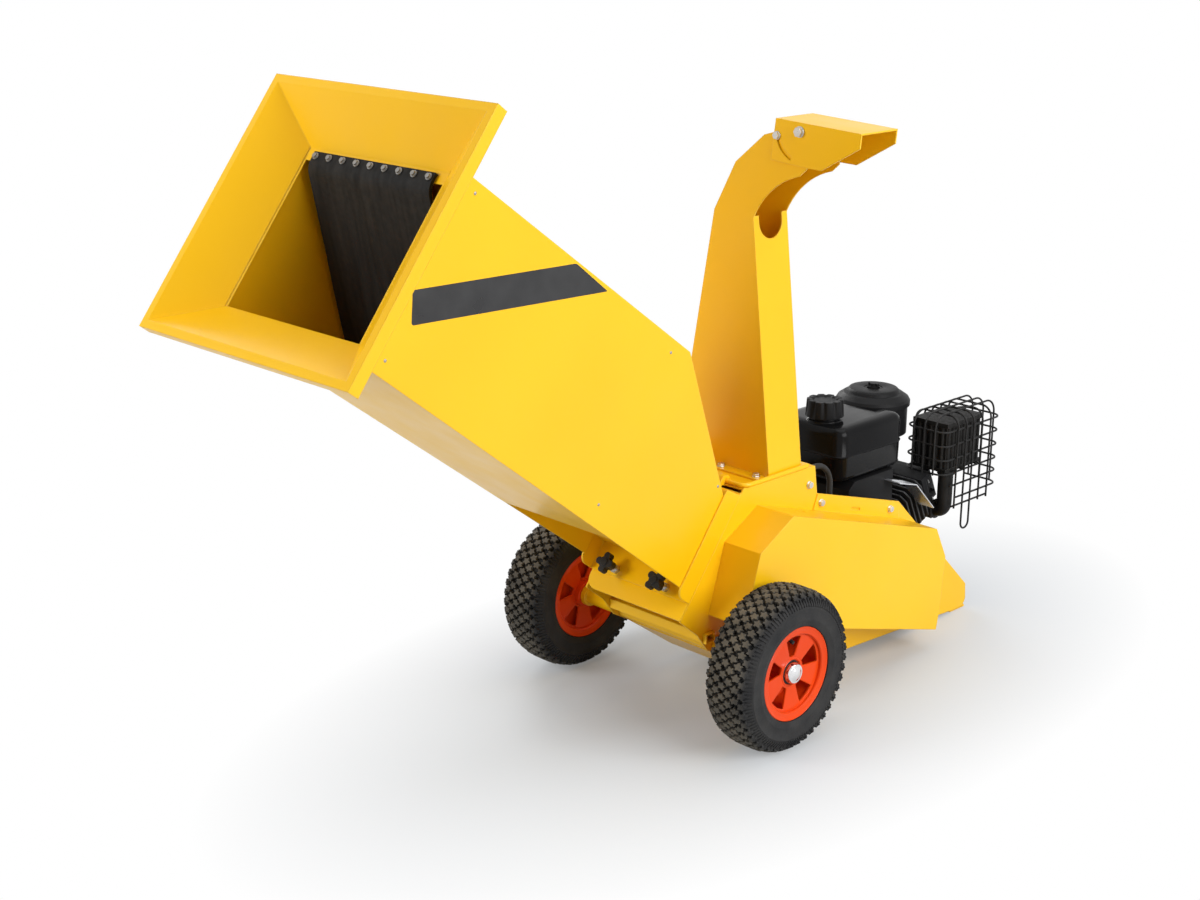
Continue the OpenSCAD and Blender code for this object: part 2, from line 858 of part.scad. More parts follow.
// folded guard with an upturned strip on the side plate
module belt_guard() {
    color([0.96, 0.72, 0.05])
    difference() {
        in_drive() {
            difference() {
                along_x(half, guard_x)
                    polygon(guard_line);
                along_x(half - 1, guard_x - guard_t)
                    polygon(inset(guard_line, guard_t));
            }
            difference() {
                along_x(half, half + guard_t)
                    polygon([[112, 90.5], [360, 90], [350, 119], [115, 119]]);
                // vent slot by the fold
                box(half - 1, half + 5, 215, 240, 98, 102);
            }
        }
        for (b = guard_bolt_at)
            rod_x(half - 1, half + guard_t + 1, b[0], b[1], 3.2);
        // slot in the upper face
        in_drive()
            box(half + 20, half + 26, 40, 62, 85, 96);
    }
}

module guard_bolts() {
    color([0.75, 0.75, 0.76])
    for (i = [0 : 2])
        translate([half + (i < 2 ? guard_t : 0), guard_bolt_at[i][0], guard_bolt_at[i][1]])
            rotate([0, 90, 0])
                hex_bolt(3, plate_t + (i < 2 ? guard_t : 0) + 1);
}

// chute

chute_bolt_x = [-67, 7, 81];
hood_arc = arc(166.8, 730.4, 129.4, 155.5, 104, 10);
chute_line = concat([[-95, top_z], [98, top_z]], hood_arc, [[149, 868], [150, 915]],
    arc(pivot_x, pivot_z, 10, -20, 125, 8), [[90, 919], [66, 912], [10, 865], [-31, 787], [-73, 538]]);
wall_t = chute_t * 1.02;
chute_inside = [[-95 + wall_t, top_z - 5], [98 - wall_t, top_z - 5], [49 - wall_t, 785.5], [200, 785.5],
    [200, 960], [92, 960], [91, 916.6], [67.2, 909.6], [12, 863.6], [-28.5, 786.2], [-70.4, 537.6]];

module discharge_chute() {
    color([0.96, 0.72, 0.05])
    difference() {
        union() {
            along_y(chute_y, chute_y1)
                polygon(chute_line);
            // base flange
            box(-97, 97, chute_y - 22, chute_y + 0.5, top_z, top_z + 3);
            box(-97, 97, chute_y1 - 0.5, chute_y1 + 22, top_z, top_z + 3);
        }
        along_y(chute_y + chute_t, chute_y1 - chute_t)
            polygon(chute_inside);
        // open lower side of the hood
        along_y(chute_y + chute_t, chute_y1 - chute_t)
            polygon([[50, 784], [200, 784], [200, 915], [160, 915], [120, 870]]);
        // round notch in the top of the near wall
        rod_x(30, 100, chute_y + chute_d / 2, 774, 27);
        box(30, 100, chute_y + chute_d / 2 - 26.9, chute_y + chute_d / 2 + 26.9, 774, 800);
        for (x = chute_bolt_x)
            for (y = [chute_y - 11, chute_y1 + 11])
                rod_z(top_z - 1, top_z + 5, x, y, 3.2);
        rod_y(chute_y - 1, chute_y1 + 1, pivot_x, pivot_z, 4.2);
        rod_y(chute_y - 1, chute_y1 + 1, guide_x, guide_z, 3.2);
    }
}

module chute_bolts() {
    color([0.75, 0.75, 0.76])
    for (x = chute_bolt_x)
        for (y = [chute_y - 11, chute_y1 + 11])
            translate([x, y, top_z + 3])
                hex_bolt(3, 8);
}

guide_at = 192;
guide_x = pivot_x + slot_r * cos(guide_at);
guide_z = pivot_z + slot_r * sin(guide_at);
deflector_line = [[82, 876], [147, 871], [179, 870], [248, 909], [250, 931], [90, 939]];

// tilting channel outside the hood
module deflector() {
    t = chute_t;
    y0 = chute_y - deflector_gap - t;
    y1 = chute_y1 + deflector_gap + t;
    color([0.96, 0.72, 0.05])
    difference() {
        along_y(y0, y1)
            polygon(deflector_line);
        along_y(y0 + t, y1 - t)
            polygon([[60, 860], [270, 860], [270, 927.5], [250, 928.5], [90, 936.5], [60, 938]]);
        rod_y(y0 - 1, y1 + 1, pivot_x, pivot_z, 4 + run_gap);
        // curved slot for the clamp bolt
        for (y = [y0 - 1, y1 - t - 1])
            translate([pivot_x, y + t + 2, pivot_z])
                rotate([90, 0, 0]) {
                    rotate([0, 0, 189])
                        rotate_extrude(angle = 57)
                            translate([slot_r - 3.4, 0])
                                square([6.8, t + 2]);
                    for (a = [189, 246])
                        rotate(a)
                            translate([slot_r, 0, 0])
                                cylinder(h = t + 2, r = 3.2);
                }
    }
}

// two pivot bolts and two clamp bolts
module deflector_bolts() {
    y0 = chute_y - deflector_gap - chute_t;
    y1 = chute_y1 + deflector_gap + chute_t;
    len = chute_t * 2 + deflector_gap + 1;
    color([0.75, 0.75, 0.76])
    for (p = [[pivot_x, pivot_z, 4], [guide_x, guide_z, 3]]) {
        translate([p[0], y0 - 0.2, p[1]])
            rotate([90, 0, 0])
                hex_bolt(p[2], len);
        translate([p[0], y1 + 0.2, p[1]])
            rotate([-90, 0, 0])
                hex_bolt(p[2], len);
    }
}

// engine

engine_bolt_x = [-58, 44];
engine_bolt_y = [-74, 74];

module crankcase() {
    color([0.12, 0.12, 0.13])
    difference() {
        union() {
            along_x(case_x0, case_x1)
                translate([crank_y, crank_z]) {
                    circle(r = 86, $fn = 72);
                    translate([-58, bed_z - crank_z])
                        square([116, crank_z - bed_z]);
                }
            box(case_x0, case_x1, crank_y - 86, crank_y + 86, bed_z, bed_z + 11);
            // seat for the cylinder
            in_cylinder()
                box(-50, 50, -46, 46, 60, 92);
            // oil filler
            translate([20, crank_y - 66, crank_z - 20])
                rotate([50, 0, 0])
                    cylinder(h = 38, r = 14);
        }
        rod_x(case_x0 - 1, case_x1 + 1, crank_y, crank_z, crank_d / 2 + 0.4);
        for (x = engine_bolt_x)
            for (y = engine_bolt_y)
                rod_z(bed_z - 1, bed_z + 20, x, crank_y + y, 4.2);
    }
}

module crank_cover() {
    color([0.2, 0.2, 0.21])
    difference() {
        union() {
            rod_x(case_x1, case_x1 + 10, crank_y, crank_z, 80, $fn = 72);
            rod_x(case_x1, case_x1 + 20, crank_y, crank_z, 24);
            for (a = [0 : 45 : 315])
                rod_x(case_x1 + 9, case_x1 + 15, crank_y + 70 * cos(a), crank_z + 70 * sin(a), 5.5, $fn = 6);
        }
        rod_x(case_x1 - 1, case_x1 + 30, crank_y, crank_z, crank_d / 2 + run_gap);
    }
}

module crankshaft() {
    color([0.6, 0.6, 0.62])
    rod_x(case_x0 + 4, belt_x + 19, crank_y, crank_z, crank_d / 2);
}

// cylinder frame: z along the cylinder away from the crank
module in_cylinder() {
    translate([0, crank_y, crank_z])
        rotate([cyl_tilt - 90, 0, 0])
            children();
}

module finned_cylinder() {
    color([0.25, 0.25, 0.26])
    in_cylinder() {
        translate([0, 0, 92.3])
            cylinder_barrel();
    }
}

module cylinder_barrel() {
    linear_extrude(88) {
        circle(r = 38);
        translate([-44, -14])
            square([88, 28]);
    }
    for (i = [0 : 7])
        translate([0, 0, 3 + i * 11.5])
            linear_extrude(3)
                fin_outline();
}

module fin_outline() {
    difference() {
        translate([-57, -44])
            square([114, 88]);
        for (sx = [-1, 1])
            for (sy = [-1, 1])
                translate([sx * 57, sy * 44])
                    rotate(45)
                        square(16, center = true);
    }
}

module cylinder_head() {
    color([0.2, 0.2, 0.21])
    in_cylinder() {
        box(-56, 58, -44, 44, 180.6, 192);
        for (i = [0 : 2])
            box(-56, 58, -44 + i * 40, -36 + i * 40, 190, 208);
        box(-52, 53, -40, 40, 190, 202);
        // valve cover
        box(-40, 40, -30, 30, 200, 228);
    }
}

module blower_housing() {
    color([0.14, 0.14, 0.15])
    difference() {
        union() {
            rod_x(case_x0 - 100, case_x0 - 0.3, crank_y, crank_z, blower_r, $fn = 96);
            // duct towards the cylinder
            along_x(case_x0 - 70, case_x0 - 0.3)
                translate([crank_y, crank_z])
                    polygon([[0, blower_r - 8], [40, 140], [150, 130], [150, 60], [60, 0]]);
        }
        rod_x(case_x0 - 95, case_x0 + 1, crank_y, crank_z, blower_r - 4, $fn = 96);
        rod_x(case_x0 - 110, case_x0, crank_y, crank_z, 62);
    }
}

// round starter cover with slots round its face
module recoil_cover() {
    x0 = case_x0 - 100.3;
    color([0.12, 0.12, 0.13])
    difference() {
        translate([x0, crank_y, crank_z])
            rotate([0, -90, 0])
                rotate_extrude($fn = 72)
                    polygon([[0, 24], [0, 30], [30, 30], [42, 24], [74, 20], [84, 6],
                        [84, 0], [80, 0], [80, 5], [72, 16], [40, 20], [28, 24]]);
        for (i = [0 : 17])
            translate([0, crank_y, crank_z])
                rotate([i * 20, 0, 0])
                    box(x0 - 40, x0 + 5, -3, 3, 46, 68);
    }
}

module engine_shroud() {
    color([0.14, 0.14, 0.15])
    along_x(-60, case_x1)
        polygon([[378, crank_z + 86.15], [500, crank_z + 86.15], [500, tank_z0 - 0.2],
            [392, tank_z0 - 0.2], [376, tank_z0 - 14]]);
}

// tank outline seen from above, with rounded corners and a step round the air cleaner
module tank_plan(grow) {
    r = 22;
    x0 = tank_x0 - grow;
    x1 = case_x1 + grow;
    y0 = tank_y0 - grow;
    y1 = tank_y0 + tank_l + grow;
    step_x = 7 - grow;
    step_y = y1 - 25;
    polygon(concat(arc(x1 - r, y1 - r, r, 0, 90, 8), arc(step_x + 12, y1 - 12, 12, 90, 180, 5),
        [[step_x, step_y]], arc(x0 + r, step_y - r, r, 90, 180, 8),
        arc(x0 + r, y0 + r, r, 180, 270, 8), arc(x1 - r, y0 + r, r, 270, 360, 8)));
}

module fuel_tank() {
    z1 = tank_z0 + tank_h;
    color([0.08, 0.08, 0.08])
    difference() {
        union() {
            translate([0, 0, tank_z0])
                linear_extrude(8)
                    tank_plan(-4);
            translate([0, 0, tank_z0 + 8])
                linear_extrude(38)
                    tank_plan(-1);
            translate([0, 0, tank_z0 + 46])
                linear_extrude(6)
                    tank_plan(0);
            translate([0, 0, tank_z0 + 52])
                linear_extrude(tank_h - 60)
                    tank_plan(-1);
            translate([0, 0, z1 - 8])
                linear_extrude(5)
                    tank_plan(-3);
            translate([0, 0, z1 - 3])
                linear_extrude(3)
                    tank_plan(-6);
            rod_z(z1 - 1, z1 + 6, -10, 390, cap_d / 2 - 6);
        }
        rod_z(z1 - 30, z1 + 10, -10, 390, cap_d / 2 - 12);
    }
}

// screw cap with grip lobes
module fuel_cap() {
    z0 = tank_z0 + tank_h + 6.3;
    r = cap_d / 2;
    color([0.08, 0.08, 0.08])
    translate([-10, 390, z0]) {
        cylinder(h = 6, r = r);
        translate([0, 0, 5])
            linear_extrude(22)
                union() {
                    circle(r = r - 6);
                    for (i = [0 : 11])
                        rotate(i * 30)
                            translate([r - 6, 0])
                                circle(r = 3.4);
                }
        translate([0, 0, 26])
            cylinder(h = 3, r = r - 9);
    }
}

cleaner_at = [-47, 575];

// air cleaner base with the carburettor below it
module air_cleaner() {
    color([0.1, 0.1, 0.1]) {
        rod_z(330, 380, cleaner_at[0], cleaner_at[1], cleaner_d / 2 - 4);
        box(-80, -12, 548, 612, 299, 332);
        along_x(-58, -24)
            polygon([[566, 300], [604, 300], [604, 261.05], [566, 243.35]]);
        rod_z(379, 381, cleaner_at[0], cleaner_at[1], 6);
    }
}

// domed cover of the air cleaner
module air_cleaner_cover() {
    r = cleaner_d / 2;
    color([0.1, 0.1, 0.1])
    translate([cleaner_at[0], cleaner_at[1], 381])
        rotate_extrude($fn = 72)
            polygon([[5.2, 0], [r, 0], [r, 8], [r - 3, 13], [r * 0.8, 20], [r * 0.5, 25],
                [16, 27.5], [12, 27.5], [12, 24], [5.2, 24]]);
}

module cleaner_knob() {
    color([0.08, 0.08, 0.08])
    translate([cleaner_at[0], cleaner_at[1], 381]) {
        translate([0, 0, 24.3])
            cylinder(h = 6, r = 9);
        translate([0, 0, 29])
            linear_extrude(7) {
                circle(r = 6);
                translate([-10, -2.5])
                    square([20, 5]);
            }
        translate([0, 0, 0.3])
            cylinder(h = 26, r = 4.9);
    }
}

// ribbed muffler box
module muffler() {
    color([0.2, 0.2, 0.21]) {
        translate([0, 0, 276])
            linear_extrude(76)
                union() {
                    translate([19, 618])
                        square([67, 102]);
                    for (i = [0 : 8])
                        for (x = [19, 86])
                            translate([x, 624 + i * 11.25])
                                circle(r = 3.6);
                    for (i = [0 : 4])
                        for (y = [618, 720])
                            translate([28 + i * 12.25, y])
                                circle(r = 3.6);
                }
        box(15, 90, 614, 724, 270, 276);
        box(15, 90, 614, 724, 352, 360);
        // tabs that carry the lowest ring of the wire guard
        for (y = [655, 700]) {
            box(13.95, 16, y, y + 10, 270, 273);
            box(89, 95.05, y, y + 10, 270, 273);
        }
    }
}

module bend_wire(r) {
    rotate_extrude(angle = 90)
        translate([r, 0])
            circle(r = wire_r, $fn = 24);
}

// flat ring of wire
module wire_ring(x0, x1, y0, y1, z, r) {
    rod_x(x0 + r, x1 - r, y0, z, wire_r, $fn = 24);
    rod_x(x0 + r, x1 - r, y1, z, wire_r, $fn = 24);
    rod_y(y0 + r, y1 - r, x0, z, wire_r, $fn = 24);
    rod_y(y0 + r, y1 - r, x1, z, wire_r, $fn = 24);
    for (c = [[x1 - r, y1 - r, 0], [x0 + r, y1 - r, 90], [x0 + r, y0 + r, 180], [x1 - r, y0 + r, 270]])
        translate([c[0], c[1], z])
            rotate(c[2])
                bend_wire(r);
}

// wire round one corner only, from (x0, y1) to (x1, y0)
module wire_corner(x0, x1, y0, y1, z, r) {
    rod_x(x0, x1 - r, y1, z, wire_r, $fn = 24);
    rod_y(y0, y1 - r, x1, z, wire_r, $fn = 24);
    translate([x1 - r, y1 - r, z])
        bend_wire(r);
}

// upright hoop of wire across X, its legs ending at z0 on the left and at z2 on the right
module wire_hoop(x0, x1, y, z0, z1, r, z2) {
    rod_z(z0, z1 - r, x0, y, wire_r, $fn = 24);
    rod_z(z2, z1 - r, x1, y, wire_r, $fn = 24);
    rod_x(x0 + r, x1 - r, y, z1, wire_r, $fn = 24);
    translate([x1 - r, y, z1 - r])
        rotate([90, 0, 0])
            bend_wire(r);
    translate([x0 + r, y, z1 - r])
        rotate([90, 0, 0])
            rotate([0, 0, 90])
                bend_wire(r);
}

// wire guard round the muffler, with a loop hanging below its outer side
module muffler_guard() {
    x0 = 12;
    x1 = 97;
    y0 = 597;
    y1 = 771;
    step = wire_d + 0.15;
    loop_y = 668.5;
    loop_r = 11.5;
    color([0.75, 0.75, 0.76]) {
        for (z = [270, 296, 322, 348])
            wire_ring(x0, x1, y0, y1, z, 18);
        for (c = [[246, 620], [221, 642]])
            wire_corner(26, x1, c[1], y1, c[0], 18);
        // hoops across the muffler, two of them joined into the hanging loop
        for (y = [632, 706, 732])
            wire_hoop(x0 - step, x1 + step, y, 268.4, 372, 20, 203);
        for (y = [loop_y - loop_r, loop_y + loop_r])
            wire_hoop(x0 - step, x1 + step, y, 268.4, 372, 20, 169);
        for (a = [180, 270])
            translate([x1 + step, loop_y, 169])
                rotate([90, 0, 90])
                    rotate([0, 0, a])
                        bend_wire(loop_r);
        // long hoops over the top
        for (x = [32, 55, 78])
            translate([x, 0, 0])
                rotate([0, 0, 90])
                    wire_hoop(y0 - step, y1 + step, 0, 268.4, 372 + step, 26, 219);
        // bottom wire of the outer side
        rod_y(629, 735, x1, 206, wire_r, $fn = 24);
    }
}

// exhaust pipe from the head up into the muffler
module exhaust_pipe() {
    x = 77;
    y = 636;
    r = 13.5;
    bend = 15.5;
    color([0.35, 0.33, 0.31]) {
        rod_z(192 + bend, 269.8, x, y, r);
        translate([x - bend, y, 192 + bend])
            rotate([90, 0, 0])
                rotate([0, 0, 270])
                    rotate_extrude(angle = 90)
                        translate([bend, 0])
                            circle(r = r);
        rod_x(58.2, x - bend, y, 192, r);
        rod_x(58.2, 61.4, y, 192, 18);
        rod_z(263, 269.8, x, y, 16);
    }
}

// bright bent sheet beside the cylinder
module heat_shield() {
    color([0.8, 0.8, 0.82])
    along_x(case_x1 + 0.2, 92)
        polygon([[478, 284], [476, 282.6], [527, 268.5], [583, 213], [584.2, 214], [528, 270]]);
}

module engine_bolts() {
    color([0.75, 0.75, 0.76])
    for (x = engine_bolt_x)
        for (y = engine_bolt_y)
            translate([x, crank_y + y, bed_z + 11])
                hex_bolt(4, 18);
}

// black hose from the top plate down to the engine bed
module control_hose() {
    x = 80;
    r = 5;
    z1 = 360;
    bend = 40;
    color([0.1, 0.1, 0.1]) {
        rod_y(226.2, 257, x, z1, r);
        translate([x, 257, z1 - bend])
            rotate([90, 0, 90])
                rotate_extrude(angle = 90)
                    translate([bend, 0])
                        circle(r = r);
        rod_z(bed_z + 0.1, z1 - bend, x, 257 + bend, r);
    }
}

hopper_duct();
hopper_mouth();
hopper_flange();
curtain_strip();
curtain_screws();
rubber_curtain();
star_knob_left();
star_knob_right();
clamp_stud_left();
clamp_stud_right();
side_plate_left();
side_plate_right();
inlet_frame();
top_plate();
rotor_shell();
belly_pan();
hanger_bar();
counter_knife();
engine_bed();
rear_foot();
axle_beam();
axle_tube();
axle_shaft();
hub_caps();
tyre_left();
tyre_right();
rim_left();
rim_right();
rotor_shaft();
rotor_drum();
rotor_knives();
rotor_bearings();
rotor_pulley();
engine_pulley();
drive_belt();
belt_guard();
guard_bolts();
discharge_chute();
chute_bolts();
deflector();
deflector_bolts();
crankcase();
crank_cover();
crankshaft();
finned_cylinder();
cylinder_head();
blower_housing();
recoil_cover();
engine_shroud();
fuel_tank();
fuel_cap();
air_cleaner();
air_cleaner_cover();
cleaner_knob();
muffler();
muffler_guard();
exhaust_pipe();
heat_shield();
engine_bolts();
control_hose();
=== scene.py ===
import math

import bpy
from mathutils import Matrix, Vector


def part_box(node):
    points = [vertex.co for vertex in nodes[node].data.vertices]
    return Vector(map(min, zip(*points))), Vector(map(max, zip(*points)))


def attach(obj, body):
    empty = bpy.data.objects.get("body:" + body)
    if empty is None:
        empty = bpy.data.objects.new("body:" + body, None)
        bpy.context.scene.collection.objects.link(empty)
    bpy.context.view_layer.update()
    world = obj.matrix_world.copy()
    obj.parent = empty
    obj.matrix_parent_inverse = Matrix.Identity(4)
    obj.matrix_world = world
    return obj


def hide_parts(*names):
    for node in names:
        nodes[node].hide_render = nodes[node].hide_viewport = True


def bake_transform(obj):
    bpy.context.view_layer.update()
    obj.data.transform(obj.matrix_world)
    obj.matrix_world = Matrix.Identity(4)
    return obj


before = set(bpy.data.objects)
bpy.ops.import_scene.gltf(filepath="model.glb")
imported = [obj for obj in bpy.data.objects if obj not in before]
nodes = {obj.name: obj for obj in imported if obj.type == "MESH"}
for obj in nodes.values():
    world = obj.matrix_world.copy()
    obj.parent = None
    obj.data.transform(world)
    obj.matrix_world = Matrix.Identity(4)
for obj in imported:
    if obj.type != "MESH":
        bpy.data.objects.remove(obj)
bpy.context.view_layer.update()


# Axle beam, axle tube and body panels
# Laser-cut and folded steel sheet, welded and powder coated in one warm yellow.
# The coat is satin with a fine orange peel. Along the folds and cut edges its colour is paler, partly as
# thinner coat and partly as a painted highlight of the rounded folds.

def new_finish(name):
    """Starts a finish and gives its tree, its shader and the piece's own coordinates."""
    finish = bpy.data.materials.new(name)
    finish.use_nodes = True
    tree = finish.node_tree
    shader = tree.nodes["Principled BSDF"]
    place = tree.nodes.new("ShaderNodeTexCoord").outputs["Object"]
    return finish, tree, shader, place


def stretched(tree, place, scale):
    """The coordinates drawn out along an axis, for brush marks and runs."""
    mapping = tree.nodes.new("ShaderNodeMapping")
    mapping.inputs["Scale"].default_value = scale
    tree.links.new(place, mapping.inputs["Vector"])
    return mapping.outputs["Vector"]


def clouds(tree, place, scale, detail=2.0):
    """Soft random patches, about 1 / scale metres across."""
    noise = tree.nodes.new("ShaderNodeTexNoise")
    noise.inputs["Scale"].default_value = scale
    noise.inputs["Detail"].default_value = detail
    tree.links.new(place, noise.inputs["Vector"])
    return noise.outputs["Fac"]


def spread(tree, pattern, low, high, start=0.3, end=0.7):
    """Maps the range of a pattern from start to end onto low to high."""
    spreader = tree.nodes.new("ShaderNodeMapRange")
    spreader.inputs["From Min"].default_value = start
    spreader.inputs["From Max"].default_value = end
    spreader.inputs["To Min"].default_value = low
    spreader.inputs["To Max"].default_value = high
    tree.links.new(pattern, spreader.inputs["Value"])
    return spreader.outputs["Result"]


def tint(tree, pattern, first, second):
    """A colour that runs from first to second with a pattern; either may be a socket."""
    mix = tree.nodes.new("ShaderNodeMix")
    mix.data_type = "RGBA"
    tree.links.new(pattern, mix.inputs[0])
    for socket, colour in ((mix.inputs[6], first), (mix.inputs[7], second)):
        if isinstance(colour, bpy.types.NodeSocket):
            tree.links.new(colour, socket)
        else:
            socket.default_value = (*colour, 1.0)
    return mix.outputs[2]


def times(tree, first, second):
    """The product of two patterns."""
    product = tree.nodes.new("ShaderNodeMath")
    product.operation = "MULTIPLY"
    tree.links.new(first, product.inputs[0])
    tree.links.new(second, product.inputs[1])
    return product.outputs["Value"]


def soft_edge(tree, radius):
    """The normal rounded over edges, and a mask that is 1 on them and 0 on flat faces."""
    bevel = tree.nodes.new("ShaderNodeBevel")
    bevel.samples = 4
    bevel.inputs["Radius"].default_value = radius
    face = tree.nodes.new("ShaderNodeNewGeometry")
    turn = tree.nodes.new("ShaderNodeVectorMath")
    turn.operation = "DOT_PRODUCT"
    tree.links.new(bevel.outputs["Normal"], turn.inputs[0])
    tree.links.new(face.outputs["Normal"], turn.inputs[1])
    return bevel.outputs["Normal"], spread(tree, turn.outputs["Value"], 1.0, 0.0, 0.72, 0.99)


def relief(tree, shader, height, depth, normal=None):
    """Raises the surface by depth metres where a pattern is 1."""
    bump = tree.nodes.new("ShaderNodeBump")
    bump.inputs["Strength"].default_value = 1.0
    bump.inputs["Distance"].default_value = depth
    tree.links.new(height, bump.inputs["Height"])
    if normal is not None:
        tree.links.new(normal, bump.inputs["Normal"])
    tree.links.new(bump.outputs["Normal"], shader.inputs["Normal"])


def powder_coat(name, deep, bright, edge):
    """Satin powder coat over sheet steel, paler on the edges, partly as thinner coat and partly as a
    painted highlight.
    """
    finish, tree, shader, place = new_finish(name)
    normal, on_edge = soft_edge(tree, 0.0026)
    body = tint(tree, spread(tree, clouds(tree, place, 3.0), 0.0, 1.0), deep, bright)
    # paler edge colour in patches along folds and cut edges: partly worn thin coat, partly painted
    # highlight
    worn_and_highlit = times(tree, on_edge, spread(tree, clouds(tree, place, 60.0, 4.0), 0.1, 0.7))
    tree.links.new(tint(tree, worn_and_highlit, body, edge), shader.inputs["Base Color"])
    tree.links.new(spread(tree, clouds(tree, place, 14.0, 4.0), 0.30, 0.40), shader.inputs["Roughness"])
    shader.inputs["Specular IOR Level"].default_value = 0.36
    shader.inputs["Coat Weight"].default_value = 0.05
    shader.inputs["Coat Roughness"].default_value = 0.18
    relief(tree, shader, clouds(tree, place, 650.0, 1.0), 0.00005, normal)
    return finish


def coat_node(finish, *names):
    """Gives a finish to every surface of these CAD pieces."""
    for name in names:
        mesh = nodes[name].data
        mesh.materials.clear()
        mesh.materials.append(finish)


# the third colour is the pale edge: thin coat and a painted highlight of the folds
yellow_coat = powder_coat("yellow_coat", (0.86, 0.474, 0.002), (0.92, 0.520, 0.004), (0.98, 0.68, 0.08))
coat_node(yellow_coat, "axle_beam", "axle_tube", "side_plate_left", "side_plate_right", "inlet_frame",
          "top_plate", "rotor_shell", "belly_pan", "hanger_bar", "engine_bed", "rear_foot")


# Axle shaft, rotor shaft, rotor drum and knives
# Turned and ground steel, bare and lightly oiled, with fine marks that run round the work.
# The knives and the counter knife are hardened and ground along their edges.

def ground_steel(name, dark, light, rough, drawn):
    """Bare machined steel with fine marks drawn out along one axis."""
    finish, tree, shader, place = new_finish(name)
    normal, on_edge = soft_edge(tree, 0.0008)
    marks = clouds(tree, stretched(tree, place, drawn), 240.0, 3.0)
    body = tint(tree, spread(tree, clouds(tree, place, 22.0, 4.0), 0.0, 1.0), dark, light)
    tree.links.new(tint(tree, on_edge, body, light), shader.inputs["Base Color"])
    tree.links.new(spread(tree, marks, rough - 0.08, rough + 0.1), shader.inputs["Roughness"])
    shader.inputs["Metallic"].default_value = 1.0
    relief(tree, shader, marks, 0.00002, normal)
    return finish


shaft_steel = ground_steel("shaft_steel", (0.42, 0.42, 0.43), (0.60, 0.60, 0.61), 0.28, (6.0, 1.0, 1.0))
knife_steel = ground_steel("knife_steel", (0.50, 0.50, 0.52), (0.68, 0.68, 0.70), 0.24, (0.1, 4.0, 4.0))
cast_iron = ground_steel("cast_iron", (0.07, 0.07, 0.075), (0.13, 0.13, 0.135), 0.46, (2.0, 2.0, 2.0))
coat_node(shaft_steel, "axle_shaft", "rotor_shaft", "crankshaft")
coat_node(knife_steel, "rotor_knives", "counter_knife")
coat_node(cast_iron, "rotor_drum", "rotor_bearings", "rotor_pulley", "engine_pulley")


# Pneumatic tyres with block tread
# Moulded rubber, smooth on the side walls, with staggered rows of star-shaped blocks round the crown.
# The blocks stand proud of the carcass and carry a little pale dust on their tops.

wheel_z = 0.130
wheel_x = 0.226
block_h = 0.0070
block_r = 0.0078
block_foot = 0.002
block_sides = 20
block_arms = 5
arm_depth = 0.22
block_across = 1.08
block_around = 0.94
block_top = 0.88
block_base = 1.04


def only(piece):
    """Selects one piece alone and makes it the active one."""
    bpy.ops.object.select_all(action="DESELECT")
    piece.select_set(True)
    bpy.context.view_layer.objects.active = piece


def settle(piece):
    """Writes the piece's place into its mesh, so that its object sits at the origin."""
    only(piece)
    bpy.ops.object.transform_apply(location=True, rotation=True, scale=True)


def join(name, pieces):
    """Makes one piece of several and names it."""
    only(pieces[0])
    for piece in pieces:
        piece.select_set(True)
    bpy.ops.object.join()
    pieces[0].name = name
    settle(pieces[0])
    return pieces[0]


def turned(name, outline, middle, axis, steps=64):
    """Spins a half outline of (radius, along) points round an axis through middle."""
    along = Vector(axis).normalized()
    out = along.orthogonal().normalized()
    mesh = bpy.data.meshes.new(name)
    points = [Vector(middle) + along * a + out * r for r, a in outline]
    mesh.from_pydata(points, [(i, i + 1) for i in range(len(points) - 1)], [])
    piece = bpy.data.objects.new(name, mesh)
    bpy.context.collection.objects.link(piece)
    only(piece)
    bpy.ops.object.mode_set(mode="EDIT")
    bpy.ops.mesh.select_all(action="SELECT")
    bpy.ops.mesh.spin(steps=steps, angle=math.tau, center=middle, axis=along)
    bpy.ops.mesh.select_all(action="SELECT")
    bpy.ops.mesh.remove_doubles(threshold=0.00002)
    bpy.ops.mesh.normals_make_consistent(inside=False)
    bpy.ops.object.mode_set(mode="OBJECT")
    return piece


def smoothed(piece, degrees=35.0):
    """Smooth shading that keeps edges sharper than the angle."""
    only(piece)
    bpy.ops.object.shade_smooth_by_angle(angle=math.radians(degrees))
    return piece


def dress(piece, finish, body, slot, *stands_for):
    """Gives a new piece its finish, its body and the CAD pieces that it stands for."""
    piece.data.materials.clear()
    piece.data.materials.append(finish)
    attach(piece, body)
    if stands_for:
        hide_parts(*stands_for)
    return piece


def tyre_rubber(name):
    """Matt black rubber, dusty where it is farthest from the axle."""
    finish, tree, shader, place = new_finish(name)
    axle = tree.nodes.new("ShaderNodeMapping")
    axle.vector_type = "POINT"
    axle.inputs["Location"].default_value = (0.0, 0.0, -wheel_z)
    axle.inputs["Scale"].default_value = (0.0, 1.0, 1.0)
    tree.links.new(place, axle.inputs["Vector"])
    reach = tree.nodes.new("ShaderNodeVectorMath")
    reach.operation = "LENGTH"
    tree.links.new(axle.outputs["Vector"], reach.inputs[0])
    grain = clouds(tree, place, 420.0, 3.0)
    patches = clouds(tree, place, 26.0, 4.0)
    dusty = times(tree, spread(tree, reach.outputs["Value"], 0.0, 1.0, 0.1215, 0.1295),
                  spread(tree, patches, 0.35, 1.0))
    wall = tint(tree, spread(tree, patches, 0.0, 1.0), (0.020, 0.020, 0.021), (0.038, 0.037, 0.036))
    tree.links.new(tint(tree, dusty, wall, (0.135, 0.118, 0.092)), shader.inputs["Base Color"])
    tree.links.new(spread(tree, grain, 0.62, 0.82), shader.inputs["Roughness"])
    shader.inputs["Specular IOR Level"].default_value = 0.14
    relief(tree, shader, grain, 0.00008)
    return finish


